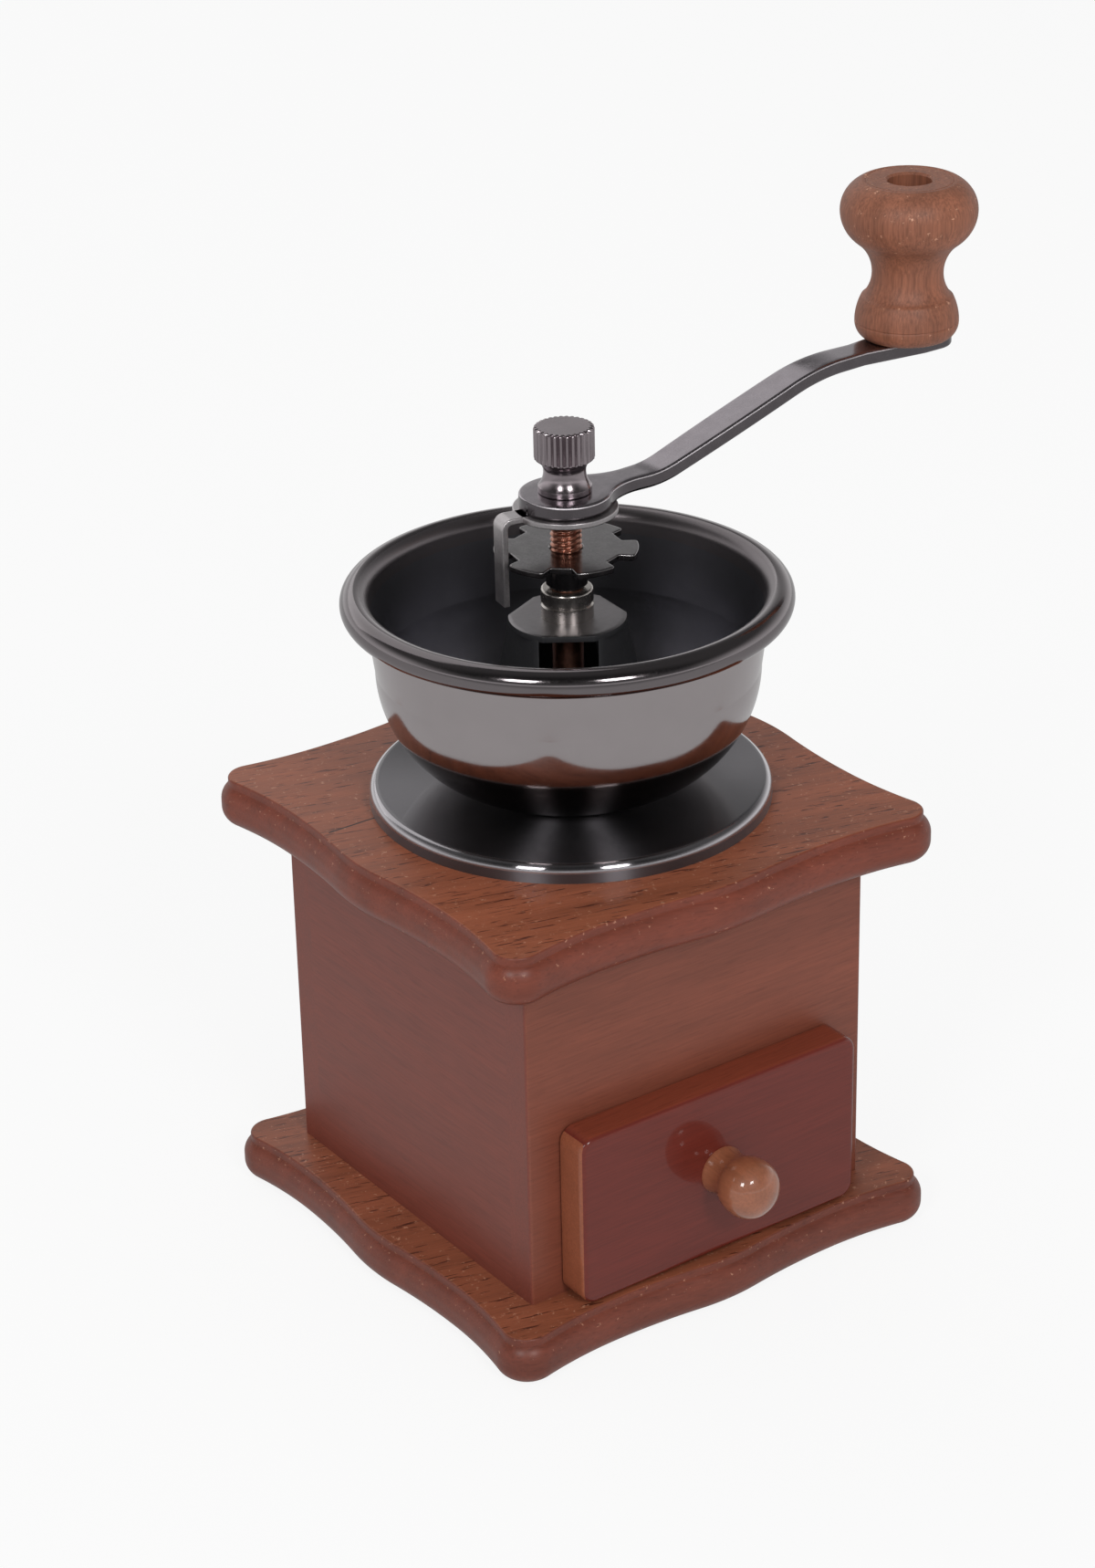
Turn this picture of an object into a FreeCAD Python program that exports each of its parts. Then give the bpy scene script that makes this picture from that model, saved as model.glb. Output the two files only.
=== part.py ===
import FreeCAD, Part
import math
import os
import Sketcher
from types import SimpleNamespace

# A hand-cranked box mill for coffee, in millimetres. The origin is the middle of the base's underside,
# +Z is up, the drawer opens towards -Y and the crank arm points along +X.

# Driving dimensions
SIZES = {
    # wooden base and top plates, cut to one wavy outline
    "plate_width": 96.0,
    "plate_height": 9.5,
    "nose_height": 8.6,
    "nose_round": 3.6,
    "step_inset": 1.45,
    "step_foot": 6.0,
    "step_round": 0.4,
    "wave_depth": 1.8,
    "valley_place": 25.0,
    "bulge_radius": 45.0,
    "corner_radius": 6.0,
    "corner_setback": 0.1,
    # box between the plates
    "case_width": 75.0,
    "wall_height": 66.5,
    "end_wall": 6.0,
    "side_wall": 8.0,
    "wall_round": 0.6,
    "opening_width": 57.2,
    "opening_height": 30.0,
    # drawer
    "front_width": 62.0,
    "front_height": 34.0,
    "front_thick": 6.5,
    "front_lift": 0.5,
    "front_gap": 0.3,
    "front_corner": 3.0,
    "front_round": 1.0,
    "drawer_width": 56.2,
    "drawer_height": 28.0,
    "drawer_board": 4.5,
    "drawer_floor": 3.0,
    "drawer_lift": 0.3,
    "drawer_end": 28.0,
    "pull_foot_radius": 4.3,
    "pull_neck_radius": 3.5,
    "pull_ball_radius": 5.6,
    "pull_foot": 2.0,
    "pull_foot_round": 1.2,
    "pull_neck": 2.9,
    "pull_ball_place": 9.9,
    "pull_bore_depth": 9.0,
    "pull_screw_radius": 1.5,
    "pull_screw_head": 3.2,
    "pull_screw_head_height": 2.0,
    # pressed steel skirt and hopper bowl
    "sheet": 0.8,
    "skirt_radius": 36.5,
    "skirt_height": 3.5,
    "skirt_round": 1.6,
    "throat_radius": 13.0,
    "seat_radius": 17.6,
    "bowl_arc": 22.5,
    "bowl_arc_place": 12.0,
    "bowl_foot_radius": 20.0,
    "bowl_height": 37.6,
    "bead_radius": 2.575,
    "bead_reach": 40.3,
    # cast bridge inside the bowl
    "ring_radius": 17.3,
    "ring_height": 2.0,
    "leg_foot_radius": 16.2,
    "leg_top_radius": 10.6,
    "leg_thick": 2.1,
    "disc_thick": 2.0,
    "bridge_height": 31.3,
    "window_width": 10.5,
    "window_angle": -125.0,
    "disc_chord": 9.6,
    "leg_count": 3,
    # bushes
    "bush_radius": 4.8,
    "bush_height": 5.5,
    "bush_round": 0.9,
    "bush_spigot": 3.6,
    "bush_spigot_depth": 2.6,
    # grinding burrs
    "burr_flange_radius": 26.5,
    "burr_body_radius": 18.0,
    "burr_clearance": 0.4,
    "burr_drop": 25.5,
    "burr_neck_radius": 9.8,
    "burr_neck_drop": 6.5,
    "burr_mouth_radius": 13.4,
    "burr_mouth_drop": 22.5,
    "ring_flutes": 18,
    "flute_depth": 1.3,
    "flute_half": 1.1,
    "flute_skew": 12.0,
    "flute_run_out": 1.0,
    "cone_top": 84.0,
    "cone_top_radius": 4.6,
    "cone_shoulder": 78.0,
    "cone_shoulder_radius": 8.9,
    "cone_foot": 64.0,
    "cone_foot_radius": 12.4,
    "cone_flutes": 14,
    "breaker_flutes": 4,
    "breaker_depth": 3.0,
    "breaker_half": 2.2,
    "pin_radius": 1.0,
    "pin_height": 82.2,
    # lower bearing under the burrs
    "strap_length": 35.6,
    "strap_width": 11.0,
    "strap_thick": 2.0,
    "strap_bush_radius": 3.6,
    "strap_bush_flange": 4.6,
    "strap_bush_height": 4.0,
    "strap_bush_rise": 0.9,
    "strap_screw_place": 16.3,
    "strap_screw_depth": 5.0,
    "strap_screw_shank": 1.0,
    "strap_screw_head": 1.7,
    "strap_screw_head_height": 1.3,
    # spindle with two flats at its upper end
    "spindle_radius": 2.8,
    "running_fit": 0.06,
    "spindle_foot": 56.6,
    "spindle_top": 152.0,
    "flat_half": 2.2,
    "flat_foot": 139.6,
    # star-shaped setting nut
    "star_radius": 12.8,
    "star_thick": 1.2,
    "star_top": 133.4,
    "star_hub_radius": 3.7,
    "star_hub_chamfer": 0.6,
    "star_lift": 0.2,
    "star_notches": 6,
    "notch_floor": 10.0,
    "notch_floor_half": 1.85,
    "notch_mouth_half": 3.1,
    "notch_round": 0.7,
    # locking washer with its bent tab
    "lock_radius": 9.3,
    "lock_thick": 1.1,
    "lock_foot": 140.1,
    "tab_half": 2.0,
    "tab_reach": 13.0,
    "tab_bend": 1.9,
    "tab_end": 125.0,
    "tab_angle": 169.0,
    # crank
    "arm_thick": 2.7,
    "eye_radius": 8.2,
    "arm_half": 3.2,
    "neck_round": 12.0,
    "crank_reach": 77.9,
    "arm_rise": 11.6,
    "bend_start": 19.3,
    "bend_end": 54.8,
    "bend_radius": 16.0,
    "arm_end_half": 4.6,
    "arm_end": 87.5,
    "arm_round": 0.6,
    "flare_start": 66.0,
    "flare_end": 79.0,
    "axle_radius": 2.0,
    "axle_head_radius": 3.4,
    "axle_head": 1.8,
    "axle_rivet": 1.2,
    "axle_bore_gap": 0.1,
    # turned crank knob
    "knob_gap": 0.2,
    "knob_height": 29.3,
    "knob_foot_radius": 8.2,
    "knob_bulge_radius": 9.6,
    "knob_bulge_place": 2.8,
    "knob_ledge_radius": 8.45,
    "knob_ledge_place": 7.6,
    "knob_step": 0.35,
    "knob_neck_radius": 6.55,
    "knob_neck_place": 11.9,
    "knob_collar_radius": 9.8,
    "knob_collar_place": 17.9,
    "knob_belly_radius": 12.55,
    "knob_belly_place": 23.7,
    "knob_top_radius": 8.7,
    "knob_hole_radius": 4.05,
    "knob_hole_depth": 12.0,
    # thumb nut
    "nut_foot_radius": 4.75,
    "nut_foot": 1.1,
    "nut_waist_radius": 3.8,
    "nut_waist": 4.3,
    "nut_foot_round": 4.0,
    "nut_head_round": 2.5,
    "nut_head_foot": 6.0,
    "nut_head_radius": 5.35,
    "nut_height": 12.0,
    "nut_top_round": 0.5,
    "nut_bore_depth": 9.0,
    "nut_flutes": 30,
    "nut_flute_radius": 0.32,
    # fasteners
    "base_screw_side": 33.0,
    "base_screw_shank": 1.3,
    "base_screw_head": 2.6,
    "base_screw_head_height": 1.8,
    "base_screw_sink": 2.4,
    "base_screw_length": 20.0,
    "bridge_screw_circle": 15.2,
    "bridge_screw_shank": 1.3,
    "bridge_screw_head": 2.0,
    "bridge_screw_head_height": 1.6,
    "bridge_screw_length": 9.0,
    "burr_screw_circle": 22.5,
    "burr_screw_shank": 1.5,
    "burr_screw_head": 2.8,
    "burr_screw_head_height": 1.4,
    "burr_screw_length": 9.5,
}

doc = FreeCAD.newDocument("coffee_mill")
sheet = doc.addObject("Spreadsheet::Sheet", "Sizes")
for row, (name, value) in enumerate(SIZES.items(), start=1):
    sheet.set(f"A{row}", name)
    sheet.set(f"B{row}", str(value))
    sheet.setAlias(f"B{row}", name)
doc.recompute()


class Size:
    """A length from the sheet or worked out from it: its number and the formula the model is bound to."""

    def __init__(self, number, formula=None):
        self.number = float(number)
        self.formula = formula or f"({float(number)!r})"

    def __add__(self, other):
        other = as_size(other)
        return Size(self.number + other.number, f"({self.formula} + {other.formula})")

    def __sub__(self, other):
        return self + (-as_size(other))

    def __mul__(self, other):
        other = as_size(other)
        return Size(self.number * other.number, f"({self.formula} * {other.formula})")

    def __truediv__(self, other):
        other = as_size(other)
        return Size(self.number / other.number, f"({self.formula} / {other.formula})")

    def __neg__(self):
        return Size(-self.number, f"(-1 * {self.formula})")

    def __radd__(self, other):
        return as_size(other) + self

    def __rsub__(self, other):
        return as_size(other) - self

    def __rmul__(self, other):
        return as_size(other) * self

    def __rtruediv__(self, other):
        return as_size(other) / self

    def __float__(self):
        return self.number

    def root(self):
        return Size(math.sqrt(self.number), f"sqrt({self.formula})")

    def cos(self):
        return Size(math.cos(math.radians(self.number)), f"cos({self.formula})")

    def sin(self):
        return Size(math.sin(math.radians(self.number)), f"sin({self.formula})")


def as_size(value):
    return value if isinstance(value, Size) else Size(value)


d = SimpleNamespace(**{name: Size(value, f"Sizes.{name}") for name, value in SIZES.items()})

# Heights that several pieces share
wall_foot = d.plate_height
wall_top = wall_foot + d.wall_height
deck = wall_top + d.plate_height
skirt_top = deck + d.skirt_height
flange_top = skirt_top - d.sheet
seat_top = skirt_top + d.sheet
bridge_foot = seat_top
ring_top = bridge_foot + d.ring_height
bridge_top = bridge_foot + d.bridge_height - d.sheet
bush_top = bridge_top + d.bush_height
burr_foot = deck - d.burr_drop
arm_foot = d.lock_foot + d.lock_thick
arm_top = arm_foot + d.arm_thick
arm_end_top = arm_top + d.arm_rise
case_half = d.case_width / 2
drawer_face = case_half + d.front_gap
pull_height = wall_foot + d.front_lift + d.front_height / 2

nodes = []
ORIGIN, H_AXIS, V_AXIS = -1, -1, -2


def new_body(label):
    """An empty body that becomes one sub-part."""
    body = doc.addObject("PartDesign::Body", label)
    body.Label = label
    nodes.append(body)
    return body


def origin_part(body, role):
    return next(item for item in body.Origin.OriginFeatures if item.Role == role)


def bind(item, name, size):
    item.setExpression(name, as_size(size).formula)


def new_sketch(body, name, plane, offset=0):
    """A sketch on one of the body's origin planes; the XZ plane's own normal points towards -Y."""
    sketch = body.newObject("Sketcher::SketchObject", f"{body.Label}_{name}")
    sketch.AttachmentSupport = [(origin_part(body, plane), "")]
    sketch.MapMode = "FlatFace"
    bind(sketch, "AttachmentOffset.Base.z", offset)
    return sketch


def constrain(sketch, rules):
    """Adds the rules to the sketch and binds each one that has a size to the sheet."""
    first = sketch.ConstraintCount
    sketch.addConstraint([rule for rule, _ in rules])
    for index, (_, size) in enumerate(rules, start=first):
        if size is not None:
            bind(sketch, f"Constraints[{index}]", size)


def place_rules(item, end, x, y):
    """Ties one point of the sketch to the sheet, measured from the sketch's origin."""
    rules = []
    for kind, axis, size in (("DistanceX", V_AXIS, x), ("DistanceY", H_AXIS, y)):
        if abs(size.number) < 1e-9:
            rules.append((Sketcher.Constraint("PointOnObject", item, end, axis), None))
        else:
            rules.append((Sketcher.Constraint(kind, ORIGIN, 1, item, end, size.number), size))
    return rules


def left(x, y, radius):
    """A step along an arc of less than a half circle that turns left."""
    return as_size(x), as_size(y), as_size(radius), 1


def right(x, y, radius):
    """A step along an arc of less than a half circle that turns right."""
    return as_size(x), as_size(y), as_size(radius), -1


def arc_between(start, end, radius, turn):
    middle = (start + end) / 2
    along = end - start
    side = FreeCAD.Vector(-along.y, along.x, 0).normalize() * turn
    centre = middle + side * math.sqrt(max(radius ** 2 - (along.Length / 2) ** 2, 0.0))
    first, last = (start, end) if turn > 0 else (end, start)
    angles = [math.atan2(point.y - centre.y, point.x - centre.x) for point in (first, last)]
    if angles[1] <= angles[0]:
        angles[1] += 2 * math.pi
    return Part.ArcOfCircle(Part.Circle(centre, FreeCAD.Vector(0, 0, 1), radius), *angles)


def draw(sketch, start, *steps):
    """A closed outline. A step is a corner (x, y) or an arc from left() or right(); it closes itself."""
    corners = [tuple(as_size(value) for value in start)]
    corners += [tuple(as_size(value) for value in step[:2]) for step in steps]
    points = [FreeCAD.Vector(x.number, y.number, 0) for x, y in corners]
    steps = list(steps)
    if (points[-1] - points[0]).Length < 1e-6:
        points.pop()
        corners.pop()
    else:
        steps.append(corners[0])
    base = sketch.GeometryCount
    count = len(points)
    shapes = []
    ends = []
    rules = []
    for index, step in enumerate(steps):
        start_point, end_point = points[index], points[(index + 1) % count]
        if len(step) == 2:
            shapes.append(Part.LineSegment(start_point, end_point))
            ends.append((1, 2))
        else:
            radius, turn = step[2], step[3]
            shapes.append(arc_between(start_point, end_point, radius.number, turn))
            ends.append((1, 2) if turn > 0 else (2, 1))
            rules.append((Sketcher.Constraint("Radius", base + index, radius.number), radius))
    sketch.addGeometry(shapes, False)
    for index in range(count):
        after = (index + 1) % count
        joint = Sketcher.Constraint("Coincident", base + index, ends[index][1], base + after, ends[after][0])
        rules.append((joint, None))
        rules += place_rules(base + index, ends[index][0], *corners[index])
    constrain(sketch, rules)


def draw_circle(sketch, x, y, radius):
    x, y, radius = as_size(x), as_size(y), as_size(radius)
    centre = FreeCAD.Vector(x.number, y.number, 0)
    item = sketch.addGeometry(Part.Circle(centre, FreeCAD.Vector(0, 0, 1), radius.number), False)
    rules = place_rules(item, 3, x, y)
    rules.append((Sketcher.Constraint("Radius", item, radius.number), radius))
    constrain(sketch, rules)


def draw_box(sketch, x0, y0, x1, y1):
    draw(sketch, (x0, y0), (x1, y0), (x1, y1), (x0, y1))


def pad(body, sketch, length, both=False):
    feature = body.newObject("PartDesign::Pad", f"{sketch.Name}_pad")
    feature.Profile = sketch
    feature.SideType = "Symmetric" if both else "One side"
    bind(feature, "Length", length)
    doc.recompute()
    return feature


def pocket(body, sketch):
    """Cuts the sketch right through the body, both ways, and makes sure that something was cut."""
    before = body.Shape.Volume
    feature = body.newObject("PartDesign::Pocket", f"{sketch.Name}_cut")
    feature.Profile = sketch
    feature.Type = "ThroughAll"
    feature.SideType = "Symmetric"
    doc.recompute()
    check_cut(body, before)
    return feature


def sink(body, sketch, depth, reverse=False):
    """Cuts the sketch to a depth, against its normal unless reversed."""
    before = body.Shape.Volume
    feature = body.newObject("PartDesign::Pocket", f"{sketch.Name}_sink")
    feature.Profile = sketch
    feature.Reversed = reverse
    bind(feature, "Length", depth)
    doc.recompute()
    check_cut(body, before)
    return feature


def check_cut(body, before):
    if not body.Shape.Volume < before - 1e-3:
        raise RuntimeError(f"{body.Label}: a cut took nothing away")


def turn(body, sketch):
    """A solid of revolution about the sketch's upright axis."""
    feature = body.newObject("PartDesign::Revolution", f"{sketch.Name}_turned")
    feature.Profile = sketch
    feature.ReferenceAxis = (sketch, ["V_Axis"])
    doc.recompute()
    return feature


def turned_body(label, start, *steps):
    """A body turned about Z from a profile of radius and height."""
    body = new_body(label)
    sketch = new_sketch(body, "profile", "XZ_Plane")
    draw(sketch, start, *steps)
    turn(body, sketch)
    return body


def repeat(body, feature, count):
    """The feature repeated evenly round Z."""
    pattern = body.newObject("PartDesign::PolarPattern", f"{feature.Name}_pattern")
    pattern.Originals = [feature]
    pattern.Axis = (origin_part(body, "Z_Axis"), [""])
    pattern.Angle = 360
    bind(pattern, "Occurrences", count)
    body.Tip = pattern
    doc.recompute()
    return pattern


def round_edges(body, radius, chosen):
    """Rounds the edges of the body so far that the test picks out."""
    base = body.Tip
    names = [f"Edge{number}" for number, edge in enumerate(base.Shape.Edges, start=1) if chosen(edge)]
    feature = body.newObject("PartDesign::Fillet", f"{base.Name}_round")
    feature.Base = (base, names)
    bind(feature, "Radius", radius)
    doc.recompute()
    return feature


def level_edge(height):
    """Test for edges that lie flat at a height."""
    def chosen(edge):
        box = edge.BoundBox
        return abs(box.ZMin - float(height)) < 1e-4 and abs(box.ZMax - float(height)) < 1e-4
    return chosen


def around(radius, angle):
    """A point at a radius and an angle, as two sizes."""
    return radius * angle.cos(), radius * angle.sin()


def turn_about_z(body, angle):
    """Turns a finished body about Z by an angle between 0 and 180 degrees."""
    body.Placement = FreeCAD.Placement(FreeCAD.Vector(), FreeCAD.Vector(0, 0, 1), float(angle))
    bind(body, "Placement.Rotation.Angle", angle)


def group(label, single, places):
    """One node of several equal solids: the single piece's shape at each place."""
    solids = []
    for x, y in places:
        solid = single.Shape.copy()
        solid.translate(FreeCAD.Vector(float(x), float(y), 0))
        solids.append(solid)
    feature = doc.addObject("Part::Feature", label)
    feature.Label = label
    feature.Shape = Part.makeCompound(solids)
    nodes.append(feature)


def screw(name, shank, head, head_height, length, head_face, upward=False):
    """One screw on the Z axis: its head's seat at head_face, its shank running down, or up if upward."""
    way = -1 if upward else 1
    body = doc.addObject("PartDesign::Body", name)
    sketch = new_sketch(body, "profile", "XZ_Plane")
    tip = head_face - way * length
    crown = head_face + way * head_height
    draw(sketch, (0, tip), (shank, tip), (shank, head_face), (head, head_face), (head, crown), (0, crown))
    turn(body, sketch)
    return body


def wavy_outline(sketch, inset=0):
    """The plates' outline: on each side a bulge, two valleys and half of each corner, all tangent arcs."""
    half = d.plate_width / 2
    valley = half - d.wave_depth
    bulge = d.bulge_radius
    corner = d.corner_radius
    inner = (d.valley_place * d.valley_place + d.wave_depth * d.wave_depth) / (2 * d.wave_depth) - bulge
    corner_place = half - d.corner_setback - corner
    across = corner_place - d.valley_place
    rise = valley - corner_place
    outer = (across * across + rise * rise - corner * corner) / (2 * (corner - rise))
    bulge_share = (bulge - inset) / (bulge + inner)
    bulge_x = d.valley_place * bulge_share
    bulge_y = (half - bulge) + (valley + inner - half + bulge) * bulge_share
    corner_share = (corner - inset) / (corner + outer)
    corner_x = corner_place + (d.valley_place - corner_place) * corner_share
    corner_y = corner_place + (valley + outer - corner_place) * corner_share
    valley_y = valley - inset
    concave_in = inner + inset
    concave_out = outer + inset
    side = [
        right(-d.valley_place, -valley_y, concave_out),
        right(-bulge_x, -bulge_y, concave_in),
        left(bulge_x, -bulge_y, bulge - inset),
        right(d.valley_place, -valley_y, concave_in),
        right(corner_x, -corner_y, concave_out),
        left(corner_y, -corner_x, corner - inset),
    ]
    steps = []
    for _ in range(4):
        steps += side
        side = [(-y, x, radius, way) for x, y, radius, way in side]
    draw(sketch, (-corner_x, -corner_y), *steps)


def wooden_plate(label, foot):
    """A plate with a rounded nose all round and a small step above it."""
    body = new_body(label)
    nose = new_sketch(body, "nose", "XY_Plane", foot)
    wavy_outline(nose)
    pad(body, nose, d.nose_height)
    nose_top = foot + d.nose_height
    on_foot, on_top = level_edge(foot), level_edge(nose_top)
    round_edges(body, d.nose_round, lambda edge: on_foot(edge) or on_top(edge))
    step = new_sketch(body, "step", "XY_Plane", foot + d.step_foot)
    wavy_outline(step, d.step_inset)
    pad(body, step, d.plate_height - d.step_foot)
    round_edges(body, d.step_round, level_edge(foot + d.plate_height))
    return body


def base_screw_places():
    reach = case_half - d.end_wall / 2
    return [(x, y) for x in (-d.base_screw_side, d.base_screw_side) for y in (-reach, reach)]


def base_plate():
    body = wooden_plate("base_plate", Size(0))
    holes = new_sketch(body, "holes", "XY_Plane")
    recesses = new_sketch(body, "recesses", "XY_Plane")
    for x, y in base_screw_places():
        draw_circle(holes, x, y, d.base_screw_shank)
        draw_circle(recesses, x, y, d.base_screw_head)
    pocket(body, holes)
    sink(body, recesses, d.base_screw_sink, reverse=True)


def top_plate():
    body = wooden_plate("top_plate", wall_top)
    hole = new_sketch(body, "hole", "XY_Plane")
    draw_circle(hole, 0, 0, d.burr_body_radius + d.burr_clearance)
    pocket(body, hole)
    pilots = new_sketch(body, "pilots", "XY_Plane", deck)
    for x, y in burr_screw_places():
        draw_circle(pilots, x, y, d.burr_screw_shank)
    sink(body, pilots, d.burr_screw_length - (flange_top - d.burr_screw_head_height - deck))


def end_wall(label, way, opening):
    """The front or the back board, across the whole width; the front one is cut away for the drawer."""
    body = new_body(label)
    face = new_sketch(body, "face", "XZ_Plane", -way * case_half if way > 0 else case_half - d.end_wall)
    jamb = d.opening_width / 2
    if opening:
        lintel = wall_foot + d.opening_height
        draw(face, (-case_half, wall_foot), (-jamb, wall_foot), (-jamb, lintel), (jamb, lintel),
             (jamb, wall_foot), (case_half, wall_foot), (case_half, wall_top), (-case_half, wall_top))
    else:
        draw_box(face, -case_half, wall_foot, case_half, wall_top)
    pad(body, face, d.end_wall)
    outer = float(case_half)

    def corner(edge):
        box = edge.BoundBox
        return box.ZLength > 1 and abs(abs(box.XMin) - outer) < 1e-4 and abs(way * box.YMin - outer) < 1e-4
    round_edges(body, d.wall_round, corner)
    pilots = new_sketch(body, "pilots", "XY_Plane", wall_foot)
    for x, y in base_screw_places():
        if float(y) * way > 0:
            draw_circle(pilots, x, y, d.base_screw_shank)
    sink(body, pilots, d.base_screw_length - (wall_foot - d.base_screw_sink), reverse=True)


def side_wall(label, way):
    body = new_body(label)
    plan = new_sketch(body, "plan", "XY_Plane", wall_foot)
    end = case_half - d.end_wall
    draw_box(plan, way * (case_half - d.side_wall), -end, way * case_half, end)
    pad(body, plan, d.wall_height)


def base_screws():
    single = screw("base_screw", d.base_screw_shank, d.base_screw_head, d.base_screw_head_height,
                   d.base_screw_length, d.base_screw_sink, upward=True)
    group("base_screws", single, base_screw_places())


def window_angles():
    return [d.window_angle + turn_by * 360 / d.leg_count for turn_by in range(SIZES["leg_count"])]


def burr_screw_places():
    """Under the skirt, in line with the bridge's legs."""
    return [around(d.burr_screw_circle, angle + 180 / d.leg_count) for angle in window_angles()]


def bridge_screw_places():
    """In the middle of the bridge's windows."""
    return [around(d.bridge_screw_circle, angle) for angle in window_angles()]


def bridge_holes(body):
    """Clearance for the three screws that clamp the bridge, the bowl and the skirt to the ring burr."""
    holes = new_sketch(body, "screw_holes", "XY_Plane")
    for x, y in bridge_screw_places():
        draw_circle(holes, x, y, d.bridge_screw_shank)
    pocket(body, holes)


def flute(body, name, foot, top, skew):
    """A tapering V groove between two levels; a level is (height, depth radius, open radius, half)."""
    sections = []
    for part_name, level, angle in (("foot", foot, Size(0)), ("top", top, skew)):
        height, depth_radius, open_radius, half = level
        section = new_sketch(body, f"{name}_{part_name}", "XY_Plane", height)
        corners = []
        for along, across in ((depth_radius, Size(0)), (open_radius, -half), (open_radius, half)):
            corners.append((along * angle.cos() - across * angle.sin(),
                            along * angle.sin() + across * angle.cos()))
        draw(section, *corners)
        sections.append(section)
    before = body.Shape.Volume
    feature = body.newObject("PartDesign::SubtractiveLoft", f"{body.Label}_{name}")
    feature.Profile = sections[0]
    feature.Sections = [sections[1]]
    feature.Ruled = True
    doc.recompute()
    check_cut(body, before)
    return feature


def ring_burr():
    """The fixed burr: a cast ring with a flange on the deck, a feed funnel and a toothed inner cone."""
    neck = deck - d.burr_neck_drop
    mouth = deck - d.burr_mouth_drop
    body = turned_body(
        "ring_burr", (d.burr_mouth_radius, burr_foot), (d.burr_body_radius, burr_foot),
        (d.burr_body_radius, deck), (d.burr_flange_radius, deck), (d.burr_flange_radius, flange_top),
        (d.throat_radius, flange_top), (d.throat_radius, deck), (d.burr_neck_radius, neck),
        (d.burr_mouth_radius, mouth))
    slope = (d.burr_mouth_radius - d.burr_neck_radius) / (neck - mouth)
    over = d.flute_run_out
    foot_radius = d.burr_mouth_radius + slope * over
    top_radius = d.burr_neck_radius - slope * over
    width = d.flute_half * 2
    foot = (mouth - over, foot_radius + d.flute_depth, foot_radius - d.flute_depth, width)
    top = (neck + over, top_radius + d.flute_depth / 2, top_radius - d.flute_depth, width)
    teeth = flute(body, "teeth", foot, top, -d.flute_skew)
    repeat(body, teeth, d.ring_flutes)
    bridge_taps = new_sketch(body, "bridge_taps", "XY_Plane", flange_top)
    for x, y in bridge_screw_places():
        draw_circle(bridge_taps, x, y, d.bridge_screw_shank)
    sink(body, bridge_taps, d.bridge_screw_length - (ring_top - flange_top))
    seats = new_sketch(body, "screw_seats", "XY_Plane", flange_top)
    shanks = new_sketch(body, "screw_shanks", "XY_Plane", flange_top)
    for x, y in burr_screw_places():
        draw_circle(seats, x, y, d.burr_screw_head)
        draw_circle(shanks, x, y, d.burr_screw_shank)
    sink(body, seats, d.burr_screw_head_height)
    sink(body, shanks, d.skirt_height)
    taps = new_sketch(body, "strap_taps", "XY_Plane", burr_foot)
    for way in (-1, 1):
        draw_circle(taps, way * d.strap_screw_place, 0, d.strap_screw_shank)
    sink(body, taps, d.strap_screw_depth, reverse=True)


def burr_screws():
    seat = flange_top - d.burr_screw_head_height
    single = screw("burr_screw", d.burr_screw_shank, d.burr_screw_head, d.burr_screw_head_height,
                   d.burr_screw_length, seat)
    group("burr_screws", single, burr_screw_places())


def skirt_ring():
    """A pressed dish that stands upside down on the deck and hides the ring burr's flange."""
    inner_round = d.skirt_round - d.sheet
    wall = d.skirt_radius - d.sheet
    body = turned_body(
        "skirt_ring", (d.throat_radius, flange_top), (wall - inner_round, flange_top),
        right(wall, flange_top - inner_round, inner_round), (wall, deck), (d.skirt_radius, deck),
        (d.skirt_radius, skirt_top - d.skirt_round),
        left(d.skirt_radius - d.skirt_round, skirt_top, d.skirt_round), (d.throat_radius, skirt_top))
    bridge_holes(body)


def hopper_bowl():
    """The spun bowl: a flat seat, one large arc, a nearly upright wall and a rim curled into a bead."""
    arc_height = skirt_top + d.bowl_arc
    wall_radius = d.bowl_arc_place + d.bowl_arc
    reach = d.bowl_foot_radius - d.bowl_arc_place
    foot_height = arc_height - (d.bowl_arc * d.bowl_arc - reach * reach).root()
    inner_arc = d.bowl_arc - d.sheet
    inner_foot_height = arc_height - (inner_arc * inner_arc - reach * reach).root()
    bead = d.bead_radius
    bead_place = d.bead_reach - bead
    bead_height = skirt_top + d.bowl_height - bead
    lip = bead_place - bead
    tuck = lip + d.sheet
    drop = (bead * bead - (bead_place - tuck) * (bead_place - tuck)).root()
    body = turned_body(
        "hopper_bowl", (d.throat_radius, skirt_top), (d.seat_radius, skirt_top),
        (d.bowl_foot_radius, foot_height), left(wall_radius, arc_height, d.bowl_arc),
        (tuck, bead_height - drop), left(d.bead_reach, bead_height, bead),
        left(bead_place, bead_height + bead, bead), left(lip, bead_height, bead),
        (wall_radius - d.sheet, arc_height), right(d.bowl_foot_radius, inner_foot_height, inner_arc),
        (d.seat_radius, seat_top), (d.throat_radius, seat_top))
    bridge_holes(body)


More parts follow.
